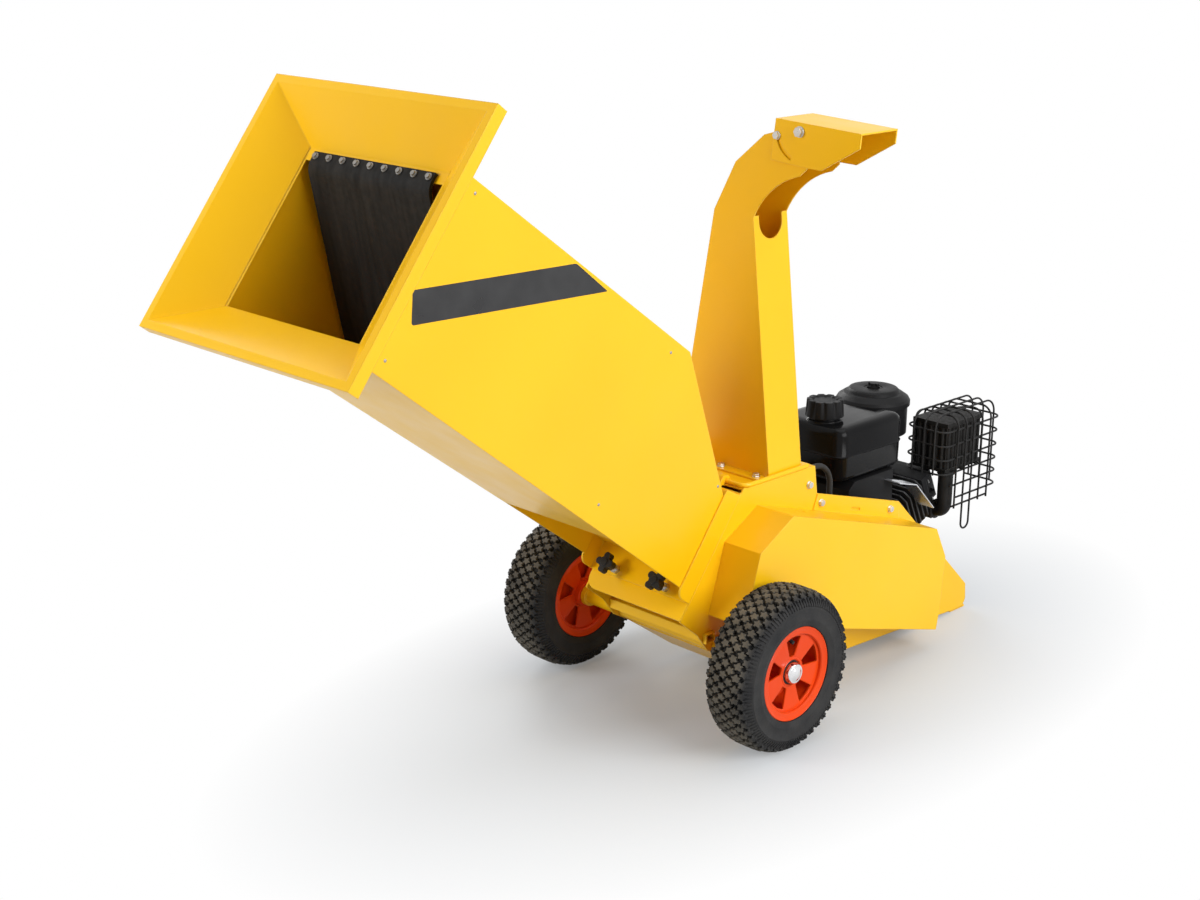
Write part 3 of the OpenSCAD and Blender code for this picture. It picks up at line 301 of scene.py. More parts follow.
def tread_block(turn):
    """One tread block, a soft five-armed star that stands along Z with its foot at the origin."""
    bpy.ops.object.select_all(action="DESELECT")
    bpy.ops.mesh.primitive_cylinder_add(vertices=block_sides, radius=block_r, depth=block_h + block_foot)
    block = bpy.context.object
    bpy.ops.object.mode_set(mode="EDIT")
    bpy.ops.mesh.select_all(action="SELECT")
    bpy.ops.transform.translate(value=(0.0, 0.0, block_h / 2 - block_foot / 2))
    bpy.ops.object.mode_set(mode="OBJECT")
    for corner in block.data.vertices:
        around = math.atan2(corner.co.y, corner.co.x)
        arm = 1.0 - arm_depth + arm_depth * math.cos(block_arms * around + turn)
        taper = block_top if corner.co.z > 0 else block_base
        corner.co.x *= arm * taper * block_across
        corner.co.y *= arm * taper * block_around
    return block


rib_length = 0.0150
rib_top_w = 0.0024
rib_foot_w = 0.0036
rib_inner_h = 0.0026
rib_outer_h = 0.0012
rib_foot = 0.002


def shoulder_rib(hand):
    """One rib of a tyre shoulder, long across the tyre, highest on its inner end."""
    bpy.ops.object.select_all(action="DESELECT")
    bpy.ops.mesh.primitive_cube_add(size=1.0)
    rib = bpy.context.object
    for corner in rib.data.vertices:
        top = corner.co.z > 0
        inner = corner.co.x * hand < 0
        corner.co.y *= rib_top_w if top else rib_foot_w
        height = rib_inner_h if inner else rib_outer_h
        corner.co.z = height if top else -rib_foot
        corner.co.x *= rib_length
    return rib


def set_round(part, middle, across, reach, angle, lean):
    """A copy of a tread part, put at an angle round the axle and leaning out to the side."""
    copy = part.copy()
    copy.data = part.data.copy()
    bpy.context.collection.objects.link(copy)
    out = Vector((across, reach * math.cos(angle), reach * math.sin(angle)))
    round_axle = Matrix.Rotation(angle - math.pi / 2, 4, "X")
    leaning = Matrix.Rotation(math.radians(lean), 4, "Y")
    copy.matrix_world = Matrix.Translation(middle + out) @ round_axle @ leaning
    return copy


# Each row: its place across the tyre, its radius and how far it leans outwards.
tread_rows = [(0.0, 0.1226, 0.0), (0.0115, 0.1225, 0.0), (0.0220, 0.1208, 11.0), (0.0304, 0.1172, 33.0)]
row_blocks = 45
row_turn = 2.2
rib_count = 120
rib_start = 0.25
rib_across = 0.0366
rib_reach = 0.1130
rib_lean = 54.0
wall = [(0.0694, -0.0316), (0.0756, -0.0342), (0.0756, -0.0386), (0.0790, -0.0404), (0.0850, -0.0414),
        (0.0862, -0.0420), (0.0878, -0.0415), (0.0960, -0.0418), (0.1030, -0.0413), (0.1042, -0.0418),
        (0.1054, -0.0408), (0.1100, -0.0394), (0.1152, -0.0350), (0.1192, -0.0290), (0.1217, -0.0210),
        (0.1226, -0.0100)]
wall += [(r, -a) for r, a in reversed(wall)]
tread = tyre_rubber("tyre_rubber")
for side, name in ((-1, "left"), (1, "right")):
    middle = Vector((side * wheel_x, 0.0, wheel_z))
    parts = [smoothed(turned("carcass", wall, middle, (1.0, 0.0, 0.0), 96), 50.0)]
    for row, (across, reach, lean) in enumerate(tread_rows):
        block = tread_block(row_turn * row)
        for hand in ((1,) if row == 0 else (-1, 1)):
            for i in range(row_blocks):
                angle = math.tau * (i + 0.5 * (row % 2)) / row_blocks
                parts.append(set_round(block, middle, hand * across, reach, angle, hand * lean))
        bpy.data.objects.remove(block)
    for hand in (-1, 1):
        rib = shoulder_rib(hand)
        for i in range(rib_count):
            angle = math.tau * (i + rib_start) / rib_count
            parts.append(set_round(rib, middle, hand * rib_across, rib_reach, angle, hand * rib_lean))
        bpy.data.objects.remove(rib)
    tyre = join(f"tread_tyre_{name}", parts)
    dress(tyre, tread, f"wheel_{name}", "tyre_rubber", f"tyre_{name}")


# Wheel rims and hub caps
# Red moulded rims: a drum with a flat lip and a web of five broad spokes at each side, walled inside.
# They sit in the tyre beads and turn on the axle. A thin dark washer parts each bright cap from the hub.

def moulded(name, deep, bright, rough, grain, coat=0.0, shine=0.3):
    """Moulded plastic or gloss enamel with a faint flow of colour and a fine grain."""
    finish, tree, shader, place = new_finish(name)
    normal, on_edge = soft_edge(tree, 0.0014)
    body = tint(tree, spread(tree, clouds(tree, place, 9.0, 3.0), 0.0, 1.0), deep, bright)
    rubbed = [min(1.0, c * 1.6 + 0.01) for c in bright]
    tree.links.new(tint(tree, spread(tree, on_edge, 0.0, 0.35, 0.0, 1.0), body, rubbed),
                   shader.inputs["Base Color"])
    patches = clouds(tree, place, 30.0, 4.0)
    tree.links.new(spread(tree, patches, rough - 0.05, rough + 0.07), shader.inputs["Roughness"])
    shader.inputs["Specular IOR Level"].default_value = shine
    shader.inputs["Coat Weight"].default_value = coat
    shader.inputs["Coat Roughness"].default_value = 0.06
    relief(tree, shader, clouds(tree, place, 900.0, 2.0), grain, normal)
    return finish


def bright_plate(name, colour, rough, brushed=(1.0, 1.0, 1.0)):
    """Plated steel with soft smears and very fine scratches."""
    finish, tree, shader, place = new_finish(name)
    normal, on_edge = soft_edge(tree, 0.0008)
    smears = clouds(tree, place, 40.0, 5.0)
    scratches = clouds(tree, stretched(tree, place, brushed), 320.0, 3.0)
    dim = [c * 0.84 for c in colour]
    tree.links.new(tint(tree, spread(tree, smears, 0.0, 1.0), dim, colour), shader.inputs["Base Color"])
    tree.links.new(spread(tree, scratches, rough * 0.7, rough * 1.4), shader.inputs["Roughness"])
    shader.inputs["Metallic"].default_value = 1.0
    relief(tree, shader, scratches, 0.00001, normal)
    return finish


rim_red = moulded("rim_red", (0.66, 0.045, 0.002), (0.75, 0.058, 0.003), rough=0.36, grain=0.00002,
                  coat=0.04, shine=0.18)
cap_chrome = bright_plate("cap_chrome", (0.86, 0.86, 0.87), 0.10)
nylon = moulded("black_nylon", (0.012, 0.012, 0.012), (0.020, 0.020, 0.020), rough=0.45, grain=0.00003)
coat_node(cap_chrome, "hub_caps")

# Each ring of the web: its radius, half the angle of a window there and its place along the axle.
web_rings = [(0.0215, 11.0, 0.0256), (0.0260, 11.0, 0.0258), (0.0580, 16.5, 0.0282), (0.0628, 16.5, 0.0282)]
web_gaps = len(web_rings) - 1
web_t = 0.0045
web_edge = 0.0012
spokes = 5
pitch = 360.0 / spokes
web_cells = 8
window_cells = range(2, 7)


def spoked_web(side, hand):
    """One web of a rim: a disc wrapped from a grid, with a window cut between each two spokes."""
    bpy.ops.object.select_all(action="DESELECT")
    bpy.ops.mesh.primitive_grid_add(x_subdivisions=spokes * web_cells, y_subdivisions=web_gaps, size=1.0)
    web = bpy.context.object
    only(web)
    bpy.ops.object.mode_set(mode="EDIT")
    bpy.ops.mesh.select_all(action="DESELECT")
    bpy.ops.object.mode_set(mode="OBJECT")
    for point in web.data.vertices:
        column = round((point.co.x + 0.5) * spokes * web_cells)
        ring = round((point.co.y + 0.5) * web_gaps)
        reach, edge, along = web_rings[ring]
        sector, cell = divmod(column, web_cells)
        middle = (pitch / 2.0 + edge) / 2.0
        turns = (-pitch / 2.0, -middle, -edge, -edge / 2.0, 0.0, edge / 2.0, edge, middle)
        turn = math.radians(pitch * sector + (pitch / 2.0 if hand > 0 else 0.0) + turns[cell])
        point.co = (side * (wheel_x + hand * along), reach * math.sin(turn),
                    wheel_z - side * reach * math.cos(turn))
        point.select = ring in (1, 2) and cell in window_cells
    bpy.ops.object.mode_set(mode="EDIT")
    bpy.ops.mesh.delete(type="FACE")
    bpy.ops.mesh.select_all(action="SELECT")
    bpy.ops.mesh.remove_doubles(threshold=0.00002)
    bpy.ops.mesh.normals_make_consistent(inside=False)
    bpy.ops.object.mode_set(mode="OBJECT")
    plate = web.modifiers.new("plate", "SOLIDIFY")
    plate.thickness = web_t
    plate.offset = 0.0
    bpy.ops.object.modifier_apply(modifier="plate")
    edges = web.modifiers.new("edges", "BEVEL")
    edges.width = web_edge
    edges.segments = 2
    bpy.ops.object.modifier_apply(modifier="edges")
    return smoothed(web, 30.0)


drum = [(0.0620, 0.0), (0.0620, 0.0342), (0.0634, 0.0360), (0.0718, 0.0366), (0.0736, 0.0378),
        (0.0748, 0.0372), (0.0750, 0.0345), (0.0690, 0.0320), (0.0690, 0.0)]
drum += [(r, -a) for r, a in reversed(drum)]
septum = [(0.0210, -0.0140), (0.0628, -0.0140), (0.0628, -0.0170), (0.0210, -0.0170), (0.0210, -0.0140)]
boss = [(0.01005, -0.0380), (0.0205, -0.0380), (0.0215, -0.0372), (0.0232, 0.0280), (0.0226, 0.0288),
        (0.0208, 0.0288), (0.0202, 0.0260), (0.01005, 0.0260), (0.01005, -0.0380)]
for side, name in ((-1, "left"), (1, "right")):
    hub = (side * wheel_x, 0.0, wheel_z)
    parts = [smoothed(turned("drum", drum, hub, (side, 0.0, 0.0), 96), 30.0),
             smoothed(turned("septum", septum, hub, (side, 0.0, 0.0), 96), 30.0),
             smoothed(turned("boss", boss, hub, (side, 0.0, 0.0), 48), 30.0),
             spoked_web(side, 1), spoked_web(side, -1)]
    dress(join(f"spoked_rim_{name}", parts), rim_red, f"wheel_{name}", "red_plastic", f"rim_{name}")
washer = [(0.0104, 0.0261), (0.0189, 0.0261), (0.0194, 0.0265), (0.0189, 0.0272), (0.0178, 0.0274),
          (0.0176, 0.0264), (0.0104, 0.0264), (0.0104, 0.0261)]
washers = []
for side in (-1, 1):
    hub = (side * wheel_x, 0.0, wheel_z)
    washers.append(smoothed(turned("washer", washer, hub, (side, 0.0, 0.0), 48)))
dress(join("hub_washers", washers), nylon, "frame", "black_plastic")


# Tyre valves
# A moulded rubber stem with a small screw cap is pulled through the barrel of each rim.
# It leans out towards the axle and shows in one window between the spokes.

def soft_rubber(name, dark, light, rough, grain, drawn=(1.0, 1.0, 1.0)):
    """Plain black sheet or moulded rubber with pale bloom, which may be drawn out in streaks."""
    finish, tree, shader, place = new_finish(name)
    patches = clouds(tree, stretched(tree, place, drawn), 18.0, 5.0)
    tree.links.new(tint(tree, spread(tree, patches, 0.0, 1.0), dark, light), shader.inputs["Base Color"])
    fine = clouds(tree, place, 90.0, 3.0)
    tree.links.new(spread(tree, fine, rough - 0.08, rough + 0.1), shader.inputs["Roughness"])
    shader.inputs["Specular IOR Level"].default_value = 0.2
    relief(tree, shader, clouds(tree, place, 500.0, 3.0), grain)
    return finish


valve_rubber = soft_rubber("valve_rubber", (0.010, 0.010, 0.010), (0.022, 0.022, 0.022), 0.55, 0.00004)
stem = [(0.0, 0.0370), (0.0024, 0.0370), (0.0031, 0.0363), (0.0031, 0.0285), (0.0026, 0.0280),
        (0.0026, 0.0268), (0.0034, 0.0240), (0.0040, 0.0080), (0.0064, 0.0020), (0.0064, -0.0010)]
valve_inboard = 0.005
valve_reach = 0.0615
valve_out = 0.034
valve_in = 0.013
for side, name in ((-1, "left"), (1, "right")):
    foot = (side * (wheel_x - valve_inboard), 0.0, wheel_z + side * valve_reach)
    lean = (side * valve_out, 0.0, side * -valve_in)
    valve = smoothed(turned(f"valve_{name}", stem, foot, lean, 24))
    dress(valve, valve_rubber, f"wheel_{name}", "black_rubber")


# Belt, pulleys and belt guard
# A folded and welded steel cover bolts to the right side plate over the pulleys and the wide belt.
# The belt is ribbed rubber, and zinc-plated bolts with washers hold the cover.

belt_rubber = soft_rubber("belt_rubber", (0.016, 0.016, 0.017), (0.034, 0.033, 0.032), 0.68, 0.0001)
zinc = bright_plate("zinc_plate", (0.66, 0.66, 0.65), 0.34)
coat_node(belt_rubber, "drive_belt")
coat_node(yellow_coat, "belt_guard")
coat_node(zinc, "guard_bolts")


# Engine castings
# The crankcase, covers and cylinder are cast aluminium sprayed matt black, rough where the mould shows.
# Cooling fins stay bare inside, and the machined cover shows its bolt heads.

def casting(name, dark, light, rough):
    """Sand-cast metal under thin black paint."""
    finish, tree, shader, place = new_finish(name)
    normal, on_edge = soft_edge(tree, 0.0022)
    skin = clouds(tree, place, 260.0, 4.0)
    body = tint(tree, spread(tree, clouds(tree, place, 16.0, 4.0), 0.0, 1.0), dark, light)
    rubbed = times(tree, on_edge, spread(tree, clouds(tree, place, 80.0, 4.0), 0.0, 0.6))
    tree.links.new(tint(tree, rubbed, body, [c * 3.0 + 0.02 for c in light]), shader.inputs["Base Color"])
    tree.links.new(spread(tree, skin, rough - 0.08, rough + 0.1), shader.inputs["Roughness"])
    shader.inputs["Specular IOR Level"].default_value = 0.18
    relief(tree, shader, skin, 0.00012, normal)
    return finish


black_casting = casting("black_casting", (0.008, 0.008, 0.009), (0.016, 0.016, 0.017), 0.5)
fin_casting = casting("fin_casting", (0.030, 0.030, 0.031), (0.060, 0.060, 0.062), 0.46)
coat_node(black_casting, "crankcase", "crank_cover", "cylinder_head")
coat_node(fin_casting, "finned_cylinder")
coat_node(zinc, "engine_bolts")


# Head bolts, spark plug and its boot
# Three zinc-plated hexagon bolts hold the cylinder head beside the valve cover.
# The plug screws in at the fourth corner, and a moulded rubber boot covers its insulator.

crank_at = Vector((0.0, 0.44477, 0.13792))
cylinder_tilt = math.radians(25.0)
bore_axis = Vector((0.0, math.cos(cylinder_tilt), math.sin(cylinder_tilt)))
bore_side = Vector((0.0, -math.sin(cylinder_tilt), math.cos(cylinder_tilt)))


def on_head(x, side, out):
    """A point beside the cylinder axis, in the engine's own directions."""
    return crank_at + Vector((x, 0.0, 0.0)) + bore_side * side + bore_axis * out


def hexagon(name, at, axis, radius, height):
    """A bolt head with a chamfered top, its foot at a point."""
    head = [(0.0, height), (radius * 0.86, height), (radius, height * 0.8), (radius, -0.0005)]
    return smoothed(turned(name, head, at, axis, 6), 20.0)


head_face = 0.202
bolt_x = 0.0465
bolt_side = 0.020
plug_at = on_head(-0.0475, bolt_side, head_face)
bolt_corners = ((bolt_x, bolt_side), (bolt_x, -bolt_side), (-bolt_x, -bolt_side))
head_bolts = [hexagon("bolt", on_head(x, side, head_face), bore_axis, radius=0.0058, height=0.0050)
              for x, side in bolt_corners]
head_bolts.append(hexagon("plug", plug_at, bore_axis, radius=0.0072, height=0.0080))
dress(join("head_bolts", head_bolts), zinc, "frame", "zinc_steel")
boot = [(0.0, 0.0400), (0.0040, 0.0398), (0.0060, 0.0385), (0.0070, 0.0355), (0.0066, 0.0330),
        (0.0072, 0.0300), (0.0066, 0.0270), (0.0072, 0.0240), (0.0068, 0.0200), (0.0074, 0.0100),
        (0.0074, 0.0078), (0.0050, 0.0078)]
plug_boot = smoothed(turned("plug_boot", boot, plug_at, bore_axis, 32))
dress(plug_boot, valve_rubber, "frame", "black_rubber")


# Blower housing, recoil cover and shroud
# Pressed steel and moulded covers lead cooling air round the cylinder, all in satin black.
# Four small screws hold the slotted recoil cover to the blower housing.

satin_black = moulded("satin_black", (0.007, 0.007, 0.0075), (0.012, 0.012, 0.0125), rough=0.42,
                      grain=0.00004, shine=0.08)
coat_node(satin_black, "blower_housing", "recoil_cover", "engine_shroud")
cover_face = -0.1865
screw_ring = 0.0790
screw_count = 4
cover_screws = []
for i in range(screw_count):
    angle = math.tau * (i + 0.5) / screw_count
    reach = Vector((cover_face, screw_ring * math.cos(angle), screw_ring * math.sin(angle)))
    screw = hexagon("screw", crank_at + reach, (-1.0, 0.0, 0.0), radius=0.0044, height=0.0052)
    cover_screws.append(screw)
dress(join("cover_screws", cover_screws), zinc, "frame", "zinc_steel")


# Flywheel fan
# A cast disc with sixteen short blades on the left end of the crankshaft, seen through the cover's slots.
# It turns with the crankshaft and draws cooling air in through the recoil cover.

fan_disc = [(0.0, -0.1660), (0.0240, -0.1660), (0.0260, -0.1640), (0.0260, -0.1560), (0.0860, -0.1540),
            (0.0860, -0.1480), (0.0240, -0.1460), (0.0200, -0.0757), (0.0, -0.0757)]
fan_parts = [smoothed(turned("fan_disc", fan_disc, crank_at, (1.0, 0.0, 0.0)))]
bpy.ops.object.select_all(action="DESELECT")
bpy.ops.mesh.primitive_cube_add(size=1.0)
blade = bpy.context.object
blade.scale = (0.0100, 0.0026, 0.0440)
settle(blade)
fan_blades = 16
blade_x = -0.1590
blade_reach = 0.0620
for i in range(fan_blades):
    angle = math.tau * i / fan_blades
    fan_parts.append(set_round(blade, crank_at, blade_x, blade_reach, angle, 0.0))
bpy.data.objects.remove(blade)
dress(join("flywheel_fan", fan_parts), cast_iron, "crank", "cast_aluminium")


# Fuel tank
# Blow-moulded in gloss black plastic, with large soft corners, a parting ridge at mid height
# and a threaded neck on top. It is stepped at the back to clear the round air cleaner.

def corner_arc(x, y, radius, start, end, steps=8):
    """Points round a corner of a plan, angles in degrees."""
    turns = [math.radians(start + (end - start) * i / steps) for i in range(steps + 1)]
    return [(x + radius * math.cos(a), y + radius * math.sin(a)) for a in turns]


tank_low, tank_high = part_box("fuel_tank")
tank_corner = 0.022
tank_step_corner = 0.012
tank_step_x = 0.007
tank_step_depth = 0.025
corner_share = 0.6


def tank_outline(inset):
    """The tank seen from above, drawn in by an inset, with the step that clears the air cleaner."""
    low = tank_low + Vector((inset, inset, 0.0))
    high = tank_high - Vector((inset, inset, 0.0))
    r = tank_corner - inset * corner_share
    small = tank_step_corner - inset * corner_share
    step_x = tank_step_x + inset
    step_y = high.y - tank_step_depth
    return (corner_arc(high.x - r, high.y - r, r, 0, 90)
            + corner_arc(step_x + small, high.y - small, small, 90, 180, 5)
            + [(step_x, step_y)]
            + corner_arc(low.x + r, step_y - r, r, 90, 180)
            + corner_arc(low.x + r, low.y + r, r, 180, 270)
            + corner_arc(high.x - r, low.y + r, r, 270, 360))


def drawn_up(name, outline, levels):
    """Extrudes a filled outline through levels of (height, inset), bottom to top."""
    first_height, first_inset = levels[0]
    plan = outline(first_inset)
    bpy.ops.object.select_all(action="DESELECT")
    bpy.ops.mesh.primitive_circle_add(vertices=len(plan), fill_type="NGON")
    piece = bpy.context.object
    piece.name = name
    for point, (x, y) in zip(piece.data.vertices, plan):
        point.co = (x, y, first_height)
    for height, inset in levels[1:]:
        below = plan
        bpy.ops.object.mode_set(mode="EDIT")
        bpy.ops.mesh.extrude_region_move(TRANSFORM_OT_translate={"value": (0.0, 0.0, 0.001)})
        bpy.ops.object.mode_set(mode="OBJECT")
        plan = outline(inset)
        for point in piece.data.vertices:
            if point.select:
                near = min(range(len(below)), key=lambda i: math.dist(below[i], point.co.xy))
                point.co = (*plan[near], height)
    bpy.ops.object.mode_set(mode="EDIT")
    bpy.ops.mesh.select_all(action="SELECT")
    bpy.ops.mesh.normals_make_consistent(inside=False)
    bpy.ops.object.mode_set(mode="OBJECT")
    return smoothed(piece, 40.0)


gloss_black = moulded("gloss_black", (0.004, 0.004, 0.0045), (0.007, 0.007, 0.0075), rough=0.14,
                      grain=0.00001, shine=0.09)
tank_levels = [(0.0, 0.0210), (0.0006, 0.0130), (0.0030, 0.0070), (0.0075, 0.0034), (0.0130, 0.0022),
               (0.0456, 0.0016), (0.0466, 0.0010), (0.0472, 0.0002), (0.0488, 0.0002), (0.0494, 0.0010),
               (0.0504, 0.0016), (0.0840, 0.0022), (0.0885, 0.0034), (0.0925, 0.0058), (0.0955, 0.0098),
               (0.0968, 0.0150), (0.0974, 0.0220)]
tank_levels = [(tank_low.z + height, inset) for height, inset in tank_levels]
tank = drawn_up("moulded_tank", tank_outline, tank_levels)
neck_at = (-0.010, 0.390, 0.0)
neck = [(0.0310, 0.3930), (0.0302, 0.3970), (0.0278, 0.3980), (0.0270, 0.3990), (0.0270, 0.4018),
        (0.0255, 0.4020), (0.0210, 0.4020), (0.0210, 0.3900)]
tank = join("moulded_tank", [tank, smoothed(turned("neck", neck, neck_at, (0.0, 0.0, 1.0), 48))])
dress(tank, gloss_black, "frame", "gloss_black", "fuel_tank")


# Fuel cap
# A matt moulded screw cap with ten broad grip lobes and a shallow dish on top.
# It turns on the threaded neck of the tank.

cap_low, cap_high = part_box("fuel_cap")
cap_middle = (cap_low + cap_high) / 2
cap_r = (cap_high.x - cap_low.x) / 2
cap_lobes = 10
grip_from = 0.005
grip_draft = 0.06
grip_depth = 0.16
grip_width = 2.2
bpy.ops.object.select_all(action="DESELECT")
bpy.ops.mesh.primitive_cylinder_add(vertices=120, radius=cap_r, depth=cap_high.z - cap_low.z,
                                    location=cap_middle)
cap = bpy.context.object
cap.name = "lobed_cap"
settle(cap)
bpy.ops.object.mode_set(mode="EDIT")
bpy.ops.mesh.select_all(action="DESELECT")
bpy.ops.object.mode_set(mode="OBJECT")
for face in cap.data.polygons:
    face.select = face.normal.z > 0.9
bpy.ops.object.mode_set(mode="EDIT")
for inset, rise in ((0.0012, 0.0), (0.0030, 0.0), (0.0040, -0.0006), (0.0030, -0.0016), (0.0020, 0.0)):
    bpy.ops.mesh.inset(thickness=inset, depth=rise)
bpy.ops.object.mode_set(mode="OBJECT")
for point in cap.data.vertices:
    out = Vector((point.co.x - cap_middle.x, point.co.y - cap_middle.y, 0.0))
    lobe = 0.5 + 0.5 * math.cos(cap_lobes * math.atan2(out.y, out.x))
    share = min(1.0, out.length / (cap_r * 0.75)) ** 4
    if point.co.z > cap_low.z + grip_from:
        point.co -= out * share * (grip_draft + grip_depth * (1.0 - min(1.0, lobe * grip_width)))
only(cap)
flange = cap.modifiers.new("round_over", "BEVEL")
flange.width = 0.0012
flange.segments = 3
flange.limit_method = "ANGLE"
flange.angle_limit = math.radians(50.0)
bpy.ops.object.modifier_apply(modifier="round_over")
smoothed(cap, 40.0)
dress(cap, satin_black, "fuel_cap", "black_plastic", "fuel_cap")


# Air cleaner
# A round moulded base on the carburettor, under a low domed lid held by one wing knob.
# The lid is pressed up into a flat disc round the knob.

coat_node(satin_black, "air_cleaner", "air_cleaner_cover", "cleaner_knob")
lid_low, lid_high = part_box("air_cleaner_cover")
lid_at = ((lid_low.x + lid_high.x) / 2, (lid_low.y + lid_high.y) / 2, 0.0)
disc = [(0.0165, 0.4060), (0.0165, 0.4092), (0.0175, 0.4096), (0.0400, 0.4096), (0.0430, 0.4088),
        (0.0455, 0.4062), (0.0475, 0.4018)]
lid_disc = smoothed(turned("lid_disc", disc, lid_at, (0.0, 0.0, 1.0), 72))
dress(lid_disc, satin_black, "frame", "black_plastic")


# Muffler, wire guard, exhaust pipe and heat shield
# Ribbed sheet-steel muffler in heat-proof black inside a welded cage of dark wire.
# A bright folded shield keeps the heat from the covers.

def heat_paint(name, dark, light):
    """Matt heat-proof paint, a little brown where it has been hot."""
    finish, tree, shader, place = new_finish(name)
    normal, on_edge = soft_edge(tree, 0.0012)
    patches = clouds(tree, place, 24.0, 5.0)
    body = tint(tree, spread(tree, patches, 0.0, 1.0), dark, light)
    tree.links.new(tint(tree, spread(tree, on_edge, 0.0, 0.4, 0.0, 1.0), body, (0.09, 0.085, 0.08)),
                   shader.inputs["Base Color"])
    tree.links.new(spread(tree, clouds(tree, place, 150.0, 3.0), 0.42, 0.62), shader.inputs["Roughness"])
    shader.inputs["Specular IOR Level"].default_value = 0.18
    relief(tree, shader, clouds(tree, place, 500.0, 3.0), 0.00005, normal)
    return finish


muffler_black = heat_paint("muffler_black", (0.007, 0.0068, 0.0065), (0.015, 0.014, 0.013))
guard_wire = heat_paint("guard_wire", (0.010, 0.010, 0.010), (0.022, 0.021, 0.021))
shield_bright = bright_plate("shield_bright", (0.80, 0.82, 0.86), 0.30, (0.05, 3.0, 3.0))
coat_node(muffler_black, "muffler", "exhaust_pipe")
coat_node(guard_wire, "muffler_guard")
coat_node(shield_bright, "heat_shield")


# Black hose beside the engine
# A short rubber hose leaves the body behind the top plate, bends down and ends at the engine bed.
# A pressed steel clip holds it at each end.

hose_rubber = soft_rubber("hose_rubber", (0.012, 0.012, 0.012), (0.026, 0.026, 0.026), 0.5, 0.00006)
hose_x = 0.080
hose_top = 0.360
hose_bend = 0.040
hose_start = 0.2262
hose_turn = 0.257
hose_end = 0.0341
hose_d = 0.010
lead_steps = 4
bend_steps = 12
drop_steps = 10
lead = hose_turn - hose_start
drop = hose_top - hose_bend - hose_end
route = [(hose_x, hose_start + lead * i / lead_steps, hose_top) for i in range(lead_steps)]
for i in range(bend_steps + 1):
    angle = math.pi / 2 * i / bend_steps
    route.append((hose_x, hose_turn + hose_bend * math.sin(angle),
                  hose_top - hose_bend * (1 - math.cos(angle))))
route += [(hose_x, hose_turn + hose_bend, hose_top - hose_bend - drop * i / drop_steps)
          for i in range(1, drop_steps + 1)]
hose_line = bpy.data.curves.new("engine_hose", "CURVE")
hose_line.dimensions = "3D"
hose_line.bevel_depth = hose_d / 2
hose_line.bevel_resolution = 6
hose_line.use_fill_caps = True
spline = hose_line.splines.new("POLY")
spline.points.add(len(route) - 1)
for point, at in zip(spline.points, route):
    point.co = (*at, 1.0)
spline.use_smooth = True
hose = bpy.data.objects.new("engine_hose", hose_line)
bpy.context.collection.objects.link(hose)
dress(hose, hose_rubber, "frame", "black_rubber", "control_hose")
clip = [(0.0049, -0.0045), (0.0062, -0.0045), (0.0066, -0.0030), (0.0060, -0.0015), (0.0060, 0.0015),
        (0.0066, 0.0030), (0.0062, 0.0045), (0.0049, 0.0045)]
clip_inset = 0.010
top_at = (hose_x, hose_start + clip_inset, hose_top)
foot_at = (hose_x, hose_turn + hose_bend, hose_end + clip_inset)
clip_top = turned("clip", clip, top_at, (0.0, 1.0, 0.0), 32)
clip_foot = turned("clip", clip, foot_at, (0.0, 0.0, 1.0), 32)
dress(smoothed(join("hose_clips", [clip_top, clip_foot])), zinc, "frame", "zinc_steel")


# Discharge chute and deflector
# Folded yellow sheet: a tall tapered chute bolted to the body, with a tilting hood on top.
# The hood turns on two pivot bolts and is held by a clamp bolt in a curved slot.

coat_node(yellow_coat, "discharge_chute", "deflector")
coat_node(zinc, "chute_bolts", "deflector_bolts")


# Hopper
# Welded from folded yellow sheet: a tapered duct, a flared mouth with a turned rim and a clamp flange.
# It hooks over a bar on the body and is clamped below by two hand knobs.

coat_node(yellow_coat, "hopper_duct", "hopper_mouth", "hopper_flange")
hopper_tilt = math.radians(37.16)
mouth_at = Vector((0.0, -0.6734, 0.8706))
feed = Vector((0.0, math.cos(hopper_tilt), -math.sin(hopper_tilt)))
across_feed = Vector((0.0, math.sin(hopper_tilt), math.cos(hopper_tilt)))


def on_hopper_side(along, height, side):
    """The point and the outward normal on a side panel of the hopper duct."""
    well_outside = Vector((side * 0.4, 0.0, 0.0))
    start = mouth_at + feed * along + across_feed * height + well_outside
    return nodes["hopper_duct"].ray_cast(start, Vector((-side, 0.0, 0.0)))[1:3]


# Pop rivets of the hopper
# Small domed rivets near the corners of both side panels hold the stiffeners inside.
# Each has the hole of its broken-off mandrel in the middle.

rivet_places = [(0.099, 0.118), (0.094, -0.122), (0.576, 0.132), (0.580, -0.112), (0.816, 0.020)]
rivet_head = [(0.0, 0.0005), (0.0007, 0.0005), (0.0008, 0.0011), (0.0014, 0.0010), (0.0020, 0.0007),
              (0.0024, 0.0002), (0.0024, -0.0004)]
rivets = []
for side in (-1, 1):
    for along, height in rivet_places:
        at, normal = on_hopper_side(along, height, side)
        rivets.append(smoothed(turned("rivet", rivet_head, at, normal, 20)))
dull_zinc = bright_plate("dull_zinc", (0.36, 0.35, 0.33), 0.44)
dress(join("hopper_rivets", rivets), dull_zinc, "hopper", "zinc_steel")


# Dark band on the hopper
# A plain strip of black film stuck slantwise across the right side panel.
# Its corners are cut round so that they do not lift.

